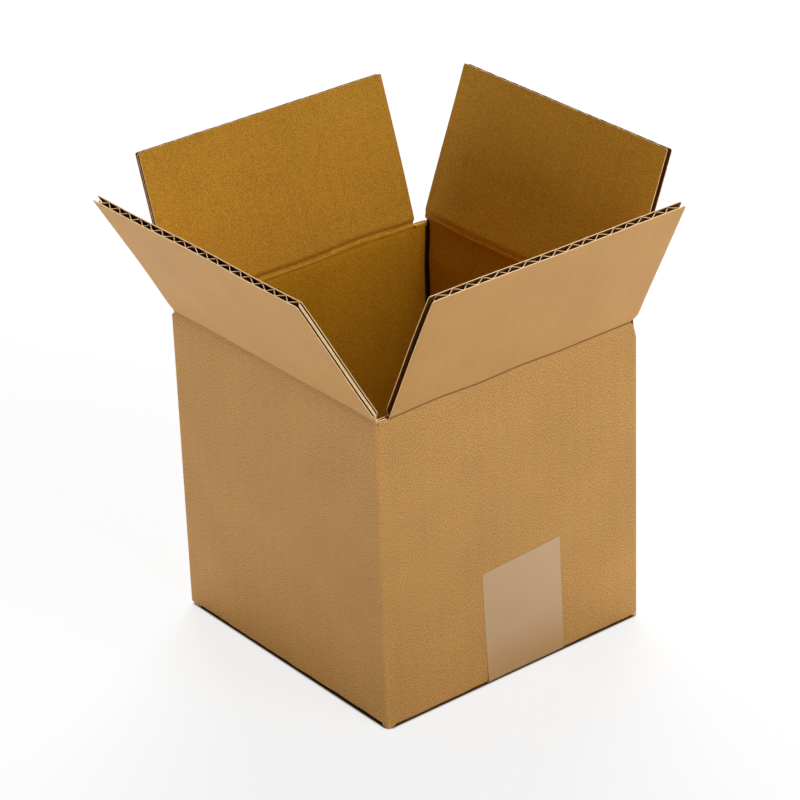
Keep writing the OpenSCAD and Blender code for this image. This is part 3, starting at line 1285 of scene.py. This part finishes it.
@dataclass
class SeamTape:
    """The strip of carton tape under the bottom seam and up the front and back walls."""

    half: float
    middle: float
    bow: WallBow
    width: float = 48.0
    rise: float = 61.6
    skew: float = math.radians(3.9)
    lean: float = -2.1
    foot_radius: float = 2.6
    lift: float = 0.06
    thickness: float = 0.09
    wrinkle: float = 0.02
    tooth: float = 1.25
    tooth_depth: float = 0.5
    foot_top: float = 12.0
    swell: float = 22.0
    seed: int = 80
    facing: float = 0.99
    flat: float = 0.98
    most_under: float = 0.14
    least_level: float = 0.004
    wall_rows: Tuple[float, ...] = (59.0, 57.5, 54.0, 48.0, 40.0, 30.0, 20.0, 12.0, 7.0, 5.0)

    def route(self) -> Array:
        """Lays the tape's line from its front end to its back end.

        Returns:
            Rows of Y, Z and the outward direction's Y and Z.
        """
        r, h = self.foot_radius, self.half
        bottom, inset = UNDERSIDE + r, r + 4.0
        heights = (self.rise, *self.wall_rows)
        turn = [(r * math.cos(a), r * math.sin(a), math.cos(a), -math.sin(a)) for a in FOLD_ANGLES]
        rows = [(-h, z, -1.0, 0.0) for z in heights]
        rows += [(-h + r - out, bottom - down, -out_way, up_way) for out, down, out_way, up_way in turn]
        rows += [(y, UNDERSIDE, 0.0, -1.0) for y in np.linspace(-h + inset, h - inset, 24)]
        rows += [(h - r + out, bottom - down, out_way, up_way) for out, down, out_way, up_way in turn[::-1]]
        rows += [(h, z, 1.0, 0.0) for z in reversed(heights)]
        return np.array(rows)

    def teeth(self, across: Array) -> Array:
        """Returns how far the saw-tooth line of a torn end stands out at places across the tape."""
        turns = across / self.tooth
        return self.tooth_depth * (2.0 * np.abs(turns - np.floor(turns + 0.5)) - 0.5)

    def build(self, material: bpy.types.Material) -> bpy.types.Object:
        """Makes the tape.

        Args:
            material: The tape's finish.

        Returns:
            The finished piece.
        """
        route = self.route()
        y, z, out, up = (route[:, axis][:, None] for axis in range(4))
        across = np.linspace(-self.width / 2.0, self.width / 2.0, round(2.0 * self.width / self.tooth) + 1)
        front_end = (across + self.width / 2.0) * math.tan(self.skew) + self.teeth(across)
        back_end = self.teeth(across + 0.4) - self.tooth_depth
        near_top = smooth((z - self.foot_top) / (self.rise - self.foot_top))
        height = z + near_top * np.where(out < -self.facing, front_end, 0.0)
        height = height + near_top * np.where(out > self.facing, back_end, 0.0)
        slide = np.where(out < -0.5, self.lean * z / self.rise, 0.0)
        place = self.middle - self.lean / 2.0 + across + slide
        wrinkle = ripple(place, height + y, self.swell, self.seed)
        foot = np.exp(-((z - 2.0) / 5.0) ** 2) * (out < 0.0) * (y < 0.0)
        proud = foot * (0.12 + 0.55 * smooth(-across / self.width - 0.05)) * (up > -self.flat)
        bulge = sum(
            np.where(out * sign > self.facing, self.bow.at(side, sign * -place, height), 0.0)
            for side, sign in ((Side.FRONT, -1.0), (Side.BACK, 1.0))
        )
        faces = []
        for skin in (self.lift + self.thickness, self.lift):
            off = skin + self.wrinkle * wrinkle + proud + bulge
            off = np.where(up < -self.flat, np.minimum(off, self.most_under), off)
            level = np.maximum(height + up * off, self.least_level)
            faces.append(np.stack([place, y + out * off, level], axis=-1))
        travelled = np.concatenate([[0.0], np.cumsum(np.hypot(*np.diff(route[:, :2], axis=0).T))])
        sheet = np.stack([place, travelled[:, None] + 0 * place, 0 * place], axis=-1)
        mesh = BoardMesh()
        mesh.plate(faces, (sheet, sheet), (0, 0, 0))
        piece = mesh.build("tape_strip", [material])
        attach(piece, "carton")
        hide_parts("seam_tape")
        return piece


class Value:
    """A shader socket that takes part in Python expressions and adds the Math nodes that they need."""

    def __init__(self, graph: "Graph", socket: bpy.types.NodeSocket) -> None:
        """Wraps an output socket of a graph."""
        self.graph = graph
        self.socket = socket

    def _math(self, operation: str, *operands: "Operand") -> "Value":
        """Adds a Math node of these inputs and returns its result."""
        return self.graph.add("ShaderNodeMath", {"operation": operation}, dict(enumerate(operands)))

    def __add__(self, other: "Operand") -> "Value":
        """Adds."""
        return self._math("ADD", self, other)

    def __radd__(self, other: "Operand") -> "Value":
        """Adds, from the right."""
        return self._math("ADD", other, self)

    def __sub__(self, other: "Operand") -> "Value":
        """Subtracts."""
        return self._math("SUBTRACT", self, other)

    def __rsub__(self, other: "Operand") -> "Value":
        """Subtracts, from the right."""
        return self._math("SUBTRACT", other, self)

    def __mul__(self, other: "Operand") -> "Value":
        """Multiplies."""
        return self._math("MULTIPLY", self, other)

    def __rmul__(self, other: "Operand") -> "Value":
        """Multiplies, from the right."""
        return self._math("MULTIPLY", other, self)

    def size(self) -> "Value":
        """Returns the value without its sign."""
        return self._math("ABSOLUTE", self)

    def root(self) -> "Value":
        """Returns the square root."""
        return self._math("SQRT", self)

    def larger(self, other: "Operand") -> "Value":
        """Returns the larger of two values."""
        return self._math("MAXIMUM", self, other)

    def pingpong(self, span: float) -> "Value":
        """Folds the value back and forth between 0 and a span."""
        return self._math("PINGPONG", self, span)

    def sine(self) -> "Value":
        """Returns the sine."""
        return self._math("SINE", self)

    def ramp(self, low: float, high: float) -> "Value":
        """Returns a smooth ramp from 0 at one value to 1 at another, which is the lower one for a fall."""
        inputs = {"Value": self, "From Min": low, "From Max": high}
        return self.graph.add("ShaderNodeMapRange", {"interpolation_type": "SMOOTHSTEP"}, inputs)

    def fade(self, limits: Fade) -> "Value":
        """Returns a smooth ramp from 0 at one distance in millimetres to 1 at another."""
        return self.ramp(limits[0] * MM, limits[1] * MM)

    def band(self, limits: Band) -> "Value":
        """Returns 1 between the middle two of four distances in millimetres, fading to 0 at the outer two."""
        return self.fade(limits[:2]) * self.fade(limits[:1:-1])


Operand = Union[float, Value]


class Graph:
    """The node tree of one material or world."""

    def __init__(self, tree: bpy.types.NodeTree) -> None:
        """Empties a node tree and fills it anew."""
        self.tree = tree
        tree.nodes.clear()

    def add(
        self,
        kind: str,
        settings: Optional[Mapping[str, object]] = None,
        inputs: Optional[Mapping[Union[int, str], object]] = None,
        output: Union[int, str] = 0,
    ) -> Value:
        """Adds a node.

        Args:
            kind: The node's type.
            settings: Its settings, which are set first.
            inputs: The values or links of its sockets.
            output: Which output is returned.

        Returns:
            The node's output, or nothing for an end node.
        """
        node = self.tree.nodes.new(kind)
        for name, setting in (settings or {}).items():
            setattr(node, name, setting)
        for name, value in (inputs or {}).items():
            if isinstance(value, Value):
                self.tree.links.new(value.socket, node.inputs[name])
            elif node.inputs[name].type == "RGBA":
                node.inputs[name].default_value = (*value, 1.0)
            else:
                node.inputs[name].default_value = value
        return Value(self, node.outputs[output]) if node.outputs else None

    def split(self, vector: Value) -> List[Value]:
        """Returns the three numbers of a vector."""
        node = self.add("ShaderNodeSeparateXYZ", {}, {0: vector}).socket.node
        return [Value(self, socket) for socket in node.outputs]

    def mix(self, factor: Operand, one: Union[Colour, Value], other: Union[Colour, Value]) -> Value:
        """Mixes two colours; the factor is the share of the second."""
        return self.add("ShaderNodeMix", {"data_type": "RGBA"}, {0: factor, 6: one, 7: other}, 2)


@dataclass(frozen=True)
class Noise:
    """A layer of noise over the sheet: swells to a metre, finer layers, and a squeeze along each axis."""

    scale: float
    detail: float
    squeeze: Point = (1.0, 1.0, 1.0)


class SheetGraph(Graph):
    """The nodes of a finish, whose pattern follows the flat sheet."""

    def __init__(self, name: str) -> None:
        """Makes the material and finds the place on the sheet.

        Args:
            name: The material's name.
        """
        self.material = bpy.data.materials.new(name)
        self.material.use_nodes = True
        super().__init__(self.material.node_tree)
        self.sheet = self.add("ShaderNodeAttribute", {"attribute_name": "sheet"}, output="Vector")
        self.along, self.above = self.split(self.sheet)[:2]

    def noise(self, layer: Noise) -> Value:
        """Adds a layer of noise.

        Args:
            layer: Its size and detail.

        Returns:
            The noise, from 0 to 1.
        """
        place = self.add("ShaderNodeVectorMath", {"operation": "MULTIPLY"}, {0: self.sheet, 1: layer.squeeze})
        inputs = {"Vector": place, "Scale": layer.scale, "Detail": layer.detail}
        return self.add("ShaderNodeTexNoise", {}, inputs)

    def toned(self, colour: Colour, tone: Value) -> Value:
        """Makes a colour darker and richer below a tone of 0, and lighter and paler above it.

        Args:
            colour: The colour.
            tone: Change of its lightness, from -0.5 to 0.5.

        Returns:
            The changed colour.
        """
        pull = (0.94, 1.06, 1.4)
        dark, light = (tuple(c * (1.0 + change * p) for c, p in zip(colour, pull)) for change in (-0.5, 0.5))
        return self.mix(tone + 0.5, dark, light)

    def finished(
        self, base: Value, rough: Value, height: Value, bump: Tuple[float, float], specular: float
    ) -> bpy.types.Material:
        """Ends the nodes in the shader.

        Args:
            base: The colour.
            rough: The roughness.
            height: The relief, from 0 to about 1.
            bump: Strength of the relief, and its height in millimetres.
            specular: Level of the shine.

        Returns:
            The finished material.
        """
        inputs = {"Strength": bump[0], "Distance": bump[1] * MM, "Height": height}
        normal = self.add("ShaderNodeBump", {}, inputs)
        shader = self.add(
            "ShaderNodeBsdfPrincipled", {},
            {"Base Color": base, "Roughness": rough, "Normal": normal, "Specular IOR Level": specular},
        )
        self.add("ShaderNodeOutputMaterial", {}, {"Surface": shader})
        return self.material


@dataclass(frozen=True)
class PaperFinish:
    """Kraft paper: mottled fibres, with painted light and shade of the flutes, creases, corners and folds."""

    name: str
    colour: Colour
    # Colour of the flaps above the top creases. It differs from the walls' colour only as painted light: a
    # painted sheen on the outer flaps and painted shade on the inner walls.
    flap_colour_painted_light: Optional[Colour] = None
    mottle: float = 0.45
    flap_mottle: float = 0.45
    cloud: float = 0.06
    # Painted light and shade of the flutes.
    flute_painted_shade: float = 0.012
    # Strength of the painted highlight and shade at the inner creases.
    crease_painted_light: float = 0.0
    # Painted highlight along the vertical corners.
    corner_painted_highlight: float = 0.0
    # Painted shade in the front crease's score line: its strength and colour.
    score_painted_shade: float = 0.0
    score_shade_colour: Colour = (0.17, 0.055, 0.0)
    # Painted highlight along the bottom folds.
    foot_fold_painted_highlight: float = 0.0
    # Painted shadow under the left flap.
    eave_painted_shadow: float = 0.0
    # Painted shade inside the inner corners' clefts: its strength and colour.
    cleft_painted_shade: float = 0.0
    cleft_shade_colour: Colour = (0.012, 0.004, 0.002)
    roughness: float = 0.62
    specular: float = 0.4
    bump: float = 0.2
    relief: float = 0.12
    wall_width: float = 159.4
    speckles: Noise = Noise(1500.0, 3.0, (1.25, 1.0, 1.0))
    fibres: Noise = Noise(3600.0, 2.0, (0.45, 1.0, 1.0))
    flecks: Noise = Noise(1500.0, 1.0, (0.35, 1.0, 1.0))
    clouds: Noise = Noise(28.0, 3.0)
    crinkles: Noise = Noise(170.0, 2.0)
    pressed: Band = (-7.5, -5.0, -2.0, -0.8)
    ridge: Band = (-1.4, -0.7, 0.0, 0.6)
    valley: Band = (0.4, 0.8, 1.2, 2.4)
    score: Band = (-0.8, -0.3, 0.2, 0.7)
    foot_fold: Band = (-169.5, -166.8, -165.5, -163.2)
    fold_line: Fade = (0.4, -0.2)
    corner_fade: Fade = (2.8, 0.8)
    near_eave: Fade = (-4.5, 0.0)
    far_eave: Fade = (-14.0, -1.0)
    cleft_top: Fade = (-0.2, -3.0)
    cleft_side: Fade = (4.2, 3.6)
    cleft_lower: Fade = (-3.0, -30.0)
    cleft_growth: float = 1.2
    crinkle_reach: float = 2.2

    def painted_light_and_shade(self, graph: SheetGraph, tone: Value, cloud: Value, below: Value) -> Value:
        """Paints light and shade of creases, corners and folds into the paper's tone.

        Args:
            graph: The material's nodes.
            tone: The tone so far.
            cloud: The paper's slow unevenness.
            below: 1 below the top creases, 0 above them.

        Returns:
            The new tone.
        """
        along, above, wall = graph.along, graph.above, self.wall_width * MM
        # Painted highlight on the inner creases' ridges and pressed bands, and painted shade in their
        # valleys, made uneven by the crinkle noise.
        if self.crease_painted_light:
            crinkle = graph.noise(self.crinkles) - 0.5
            line = above + crinkle * (self.crinkle_reach * MM)
            ridge = line.band(self.ridge) * (crinkle * 3.0 + 1.0)
            light = line.band(self.pressed) * 0.25 + ridge - line.band(self.valley) * 0.15
            tone = tone + light * self.crease_painted_light
        # Painted highlight along the walls' vertical corners.
        if self.corner_painted_highlight:
            tone = tone + along.pingpong(wall / 2.0).fade(self.corner_fade) * self.corner_painted_highlight
        # Painted highlight along the round bottom folds, made patchy by the cloud noise.
        if self.foot_fold_painted_highlight:
            tone = tone + above.band(self.foot_fold) * cloud * (2.0 * self.foot_fold_painted_highlight)
        # Painted shadow, patchy with the cloud noise, just under the left wall's crease where its flap leans
        # out.
        if self.eave_painted_shadow:
            eave = above.fade(self.near_eave) * 0.7 + above.fade(self.far_eave) * 0.3
            eave = eave * below * along.ramp(wall, 0.98 * wall)
            tone = tone - eave * (cloud * 1.6 + 0.2) * self.eave_painted_shadow
        return tone

    def lined(self, graph: SheetGraph, base: Value) -> Value:
        """Paints shade into the front crease's score line and into the clefts inside the corners.

        Args:
            graph: The material's nodes.
            base: The paper's colour.

        Returns:
            The colour with the painted shade.
        """
        along, above, wall = graph.along, graph.above, self.wall_width
        # Painted shade: a dark brown line in the front wall's crease groove.
        if self.score_painted_shade:
            score = above.band(self.score) * along.band((wall, 1.01 * wall, 2.0 * wall, 2.01 * wall))
            base = graph.mix(score * self.score_painted_shade, base, self.score_shade_colour)
        # Painted shade: near black inside the inner corners' clefts, widening lower down.
        if self.cleft_painted_shade:
            growth = above.fade(self.cleft_lower) * (self.cleft_growth * MM)
            corner = along.pingpong(wall * MM / 2.0) - growth
            cleft = corner.fade(self.cleft_side) * above.fade(self.cleft_top)
            base = graph.mix(cleft * self.cleft_painted_shade, base, self.cleft_shade_colour)
        return base

    def build(self) -> bpy.types.Material:
        """Makes the material.

        Returns:
            The new material.
        """
        graph = SheetGraph(self.name)
        speckle, fibre, cloud = (graph.noise(layer) for layer in (self.speckles, self.fibres, self.clouds))
        fleck = graph.noise(self.flecks).ramp(0.73, 0.8)
        flutes = (graph.along * (math.tau / (BOARD.flute_pitch * MM))).sine()
        below = graph.above.fade(self.fold_line)
        grain = (speckle - 0.5) * 4.0 + (fibre - 0.5) * 1.6 - fleck * 1.5
        tone = grain * (self.flap_mottle + below * (self.mottle - self.flap_mottle))
        # Painted light and shade of the flutes' washboard, on top of their bump.
        tone = tone + (cloud - 0.5) * (4.0 * self.cloud) + flutes * self.flute_painted_shade
        tone = self.painted_light_and_shade(graph, tone, cloud, below)
        base = graph.toned(self.colour, tone)
        # Painted light: the flaps above the creases get their own lighter colour, and the walls below keep
        # the darker one.
        if self.flap_colour_painted_light:
            base = graph.mix(below, graph.toned(self.flap_colour_painted_light, tone), base)
        rough = self.roughness + (speckle - 0.5) * 0.15
        height = speckle * 0.35 + fibre * 0.4 + flutes * 0.2
        return graph.finished(self.lined(graph, base), rough, height, (self.bump, self.relief), self.specular)


@dataclass(frozen=True)
class TapeFinish:
    """Pale film over kraft paper: smooth, a little shiny, with faint streaks along it, and painted darker
    from partway down the front wall towards the floor as painted shade.
    """

    name: str = "tape_film"
    colour: Colour = (0.53, 0.345, 0.18)
    # Painted shade towards the floor.
    foot_painted_shade_colour: Colour = (0.48, 0.27, 0.1)
    dark_colour: Colour = (0.2, 0.1, 0.03)
    streaks: Noise = Noise(420.0, 2.0, (1.0, 0.06, 1.0))
    grains: Noise = Noise(900.0, 2.0)
    clouds: Noise = Noise(45.0, 2.0)
    roughness: float = 0.36
    bump: Tuple[float, float] = (0.12, 0.1)
    specular: float = 0.5

    def build(self) -> bpy.types.Material:
        """Makes the material.

        Returns:
            The new material.
        """
        graph = SheetGraph(self.name)
        streak, grain, cloud = (graph.noise(layer) for layer in (self.streaks, self.grains, self.clouds))
        # Painted shade: the tape turns darker from about 35 to 62 mm along it, down towards the floor, and
        # stays dark beyond.
        base = graph.mix(graph.above.ramp(0.035, 0.062), self.colour, self.foot_painted_shade_colour)
        tone = (streak - 0.5) * 0.1 + (grain - 0.5) * 0.1 + (cloud - 0.5) * 0.12
        base = graph.mix(tone.ramp(-0.12, 0.12), graph.mix(0.12, base, self.dark_colour), base)
        rough = self.roughness + (cloud - 0.5) * 0.2
        height = streak * 0.4 + grain * 0.5 + cloud * 0.6
        return graph.finished(base, rough, height, self.bump, self.specular)


@dataclass(frozen=True)
class Lamp:
    """A square soft lamp that points at the carton: its place and side in metres, and its power in watts."""

    name: str
    place: Point
    side: float
    power: float

    def hang(self) -> None:
        """Puts the lamp in the scene."""
        lamp = bpy.data.lights.new(self.name, "AREA")
        lamp.size = self.side
        lamp.energy = self.power
        holder = placed(self.name, lamp)
        holder.location = self.place
        aim = Vector((0.0, 0.0, 0.1)) - Vector(self.place)
        holder.rotation_euler = aim.to_track_quat("-Z", "Y").to_euler()


@dataclass
class Studio:
    """Pale floor, soft lamps and the camera."""

    half: float
    sky: float = 0.03
    reach: float = 6.0
    floor_colour: Colour = (0.88, 0.88, 0.88)
    shaded_floor: Colour = (0.76, 0.76, 0.76)
    # Painted contact shadow under the carton, seen by the camera only.
    floor_painted_contact_shadow: Colour = (0.1, 0.06, 0.03)
    white: Colour = (1.0, 1.0, 1.0)
    floor_white: float = 0.81
    round_corner: float = 3.5
    eye: Point = (-900.94, -1155.55, 872.97)
    yaw: float = math.radians(52.17)
    pitch: float = math.radians(-27.27)
    roll: float = math.radians(-2.08)
    lens: float = 152.68
    lamps: Tuple[Lamp, ...] = (
        Lamp("front_low", (0.4, -2.2, 1.1), 1.3, 17.5),
        Lamp("front_high", (0.3, -1.8, 1.9), 1.3, 20.5),
        Lamp("left_low", (-2.4, 0.0, 0.3), 0.7, 18.5),
        Lamp("overhead", (0.0, 0.0, 2.4), 1.6, 7.0),
        Lamp("back_high", (1.2, 1.4, 2.2), 1.6, 96.0),
    )

    def floor_material(self) -> bpy.types.Material:
        """Makes the floor's finish: to the camera white with a soft shadow, and a painted contact shadow
        under the carton.

        Returns:
            The new material.
        """
        material = bpy.data.materials.new("floor_paper")
        material.use_nodes = True
        graph = Graph(material.node_tree)
        plain, shaded, under = (
            graph.add("ShaderNodeBsdfDiffuse", {}, {"Color": colour})
            for colour in (self.floor_colour, self.shaded_floor, self.floor_painted_contact_shadow)
        )
        white = graph.add("ShaderNodeEmission", {}, {"Color": self.white, "Strength": 1.0})
        place = graph.split(graph.add("ShaderNodeNewGeometry", output="Position"))
        straight = (self.half - self.round_corner) * MM
        beside = [(axis.size() - straight).larger(0.0) for axis in place[:2]]
        away = (beside[0] * beside[0] + beside[1] * beside[1]).root() - self.round_corner * MM
        # Partly painted contact shadow: a mask fades the white glow out at the carton's footprint, and there
        # the real shade of the diffuse floor shows.
        open_floor = away.ramp(-0.0004, 0.0012) * self.floor_white
        camera_ray = graph.add("ShaderNodeLightPath", {}, output="Is Camera Ray")
        # Painted contact shadow: under the carton the floor turns nearly black to the camera.
        shaded = graph.add("ShaderNodeMixShader", {}, {0: away.ramp(0.0004, -0.0006), 1: shaded, 2: under})
        seen = graph.add("ShaderNodeMixShader", {}, {0: open_floor, 1: shaded, 2: white})
        mixed = graph.add("ShaderNodeMixShader", {}, {0: camera_ray, 1: plain, 2: seen})
        graph.add("ShaderNodeOutputMaterial", {}, {"Surface": mixed})
        return material

    def add_floor(self) -> None:
        """Lays the floor."""
        mesh = bpy.data.meshes.new("floor")
        corners = [(x * self.reach, y * self.reach, 0.0) for x, y in ((-1, -1), (1, -1), (1, 1), (-1, 1))]
        mesh.from_pydata(corners, [], [(0, 1, 2, 3)])
        mesh.materials.append(self.floor_material())
        floor = placed("floor", mesh)

    def light_world(self) -> None:
        """Lights the scene from all round, with a plain white background."""
        world = bpy.data.worlds.new("studio")
        bpy.context.scene.world = world
        world.use_nodes = True
        graph = Graph(world.node_tree)
        path = graph.add("ShaderNodeLightPath", {}, output="Is Camera Ray")
        rays = path.socket.node.outputs
        seen = path + Value(graph, rays["Is Glossy Ray"]) + Value(graph, rays["Is Transmission Ray"])
        strength = self.sky + seen.ramp(0.0, 1.0) * (1.0 - self.sky)
        background = graph.add("ShaderNodeBackground", {}, {"Color": self.white, "Strength": strength})
        graph.add("ShaderNodeOutputWorld", {}, {"Surface": background})

    def add_camera(self) -> None:
        """Adds the camera at the photograph's viewing angle."""
        camera = bpy.data.cameras.new("camera")
        camera.lens = self.lens
        camera.sensor_width = 36.0
        camera.sensor_fit = "HORIZONTAL"
        camera.clip_end = 30.0
        forward = Vector((
            math.cos(self.pitch) * math.cos(self.yaw),
            math.cos(self.pitch) * math.sin(self.yaw),
            math.sin(self.pitch),
        ))
        level = forward.cross(Vector((0.0, 0.0, 1.0))).normalized()
        upright = level.cross(forward)
        right = math.cos(self.roll) * level + math.sin(self.roll) * upright
        up = math.cos(self.roll) * upright - math.sin(self.roll) * level
        holder = placed("camera", camera)
        holder.matrix_world = Matrix.Translation(Vector(self.eye) * MM) @ (
            Matrix((right, up, -forward)).transposed().to_4x4()
        )
        bpy.context.scene.camera = holder

    def build(self) -> None:
        """Sets up the whole studio."""
        self.add_floor()
        self.light_world()
        for lamp in self.lamps:
            lamp.hang()
        self.add_camera()
        bpy.context.scene.view_settings.view_transform = "Standard"


def make_board() -> List[bpy.types.Material]:
    """Makes the finishes of the board.

    Returns:
        Outer liner, inner liner, medium painted dark as flute shade, and cut edge.
    """
    # Outer liner: a paler flap colour as painted sheen, painted highlights along corners and bottom folds, a
    # painted shadow under the left flap and painted shade in the front score line.
    outside = PaperFinish("outer_liner", WALL_KRAFT, FLAP_KRAFT_PAINTED_SHEEN, mottle=0.7, flap_mottle=0.12,
                          corner_painted_highlight=0.04, foot_fold_painted_highlight=0.2, eave_painted_shadow=0.27, score_painted_shade=0.85, specular=0.45)
    # Inner liner: the walls are painted darker than the flaps as shade inside the carton, with painted
    # highlight and shade at the creases and painted shade in the corner clefts.
    inside = PaperFinish("inner_liner", (0.435, 0.213, 0.01), (0.49, 0.246, 0.022), crease_painted_light=0.2,
                         cleft_painted_shade=0.95, specular=0.15)
    # Painted shade: the medium, the liners' backs and the strips across open flute channels get a nearly
    # black kraft that stands in for the shade inside the flutes.
    medium = PaperFinish("fluted_medium", (0.17, 0.06, 0.015), flute_painted_shade=0.0, specular=0.0)
    cut_edge = PaperFinish("cut_edge", (0.74, 0.5, 0.25), mottle=0.15, flap_mottle=0.15, flute_painted_shade=0.0,
                           bump=0.15)
    return [finish.build() for finish in (outside, inside, medium, cut_edge)]


def make_flaps(half: float) -> List[TopFlap]:
    """Sets out the four top flaps.

    Args:
        half: Half the carton's width.

    Returns:
        The flaps, in the order of the walls.
    """
    joints = {joint["child"]: joint for joint in frame["joints"]}
    return [
        TopFlap("left_flap_board", "flap_left", Side.LEFT, joints["left_flap"], half,
                start=-78.2, end=79.1, fold_drop=2.25, groove=0.05, turns_at_start=0.17, turns_at_end=0.5,
                nip_start=0.7, recess_start=2.6, fray_end=0.9, bend=0.8, seed=1),
        TopFlap("front_flap_board", "flap_front", Side.FRONT, joints["front_flap"], half,
                start=-72.0, end=78.1, fold_drop=-0.7, groove=0.4, turns_at_start=0.75, turns_at_end=0.2,
                nip_end=2.8, recess_start=3.5, recess_end=2.6, stray=0.6, seed=2),
        TopFlap("right_flap_board", "flap_right", Side.RIGHT, joints["right_flap"], half,
                start=-71.9, end=78.2, fold_drop=2.0, groove=0.05, turns_at_start=0.72, turns_at_end=0.4,
                recess_start=2.5, seed=3),
        TopFlap("back_flap_board", "flap_back", Side.BACK, joints["back_flap"], half,
                start=-69.7, end=78.1, fold_drop=-0.7, groove=0.3, turns_at_start=0.3, turns_at_end=0.6,
                nip_end=1.0, seed=4),
    ]


def main() -> None:
    """Builds the pieces and the studio in order, and reports each piece."""
    logging.basicConfig(level=logging.INFO, format="%(message)s")
    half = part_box("carton_body")[1].x / MM
    board = make_board()
    flaps = make_flaps(half)
    bow = WallBow(half)
    walls = CartonWalls(
        half, bow,
        fold_z={flap.side: flap.fold_z for flap in flaps},
        slot_ends={flap.side: flap.start for flap in flaps if flap.side is not Side.LEFT},
    )
    pieces = [walls.build(board)] + [flap.build(board) for flap in flaps]
    tape_low, tape_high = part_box("seam_tape")
    tape_shift = 1.2
    middle = (tape_low.x + tape_high.x) / 2.0 / MM + tape_shift
    pieces.append(SeamTape(half, middle, bow).build(TapeFinish().build()))
    for piece in pieces:
        LOG.info("%s: %d faces", piece.name, len(piece.data.polygons))
    Studio(half).build()


if __name__ == "__main__":
    main()
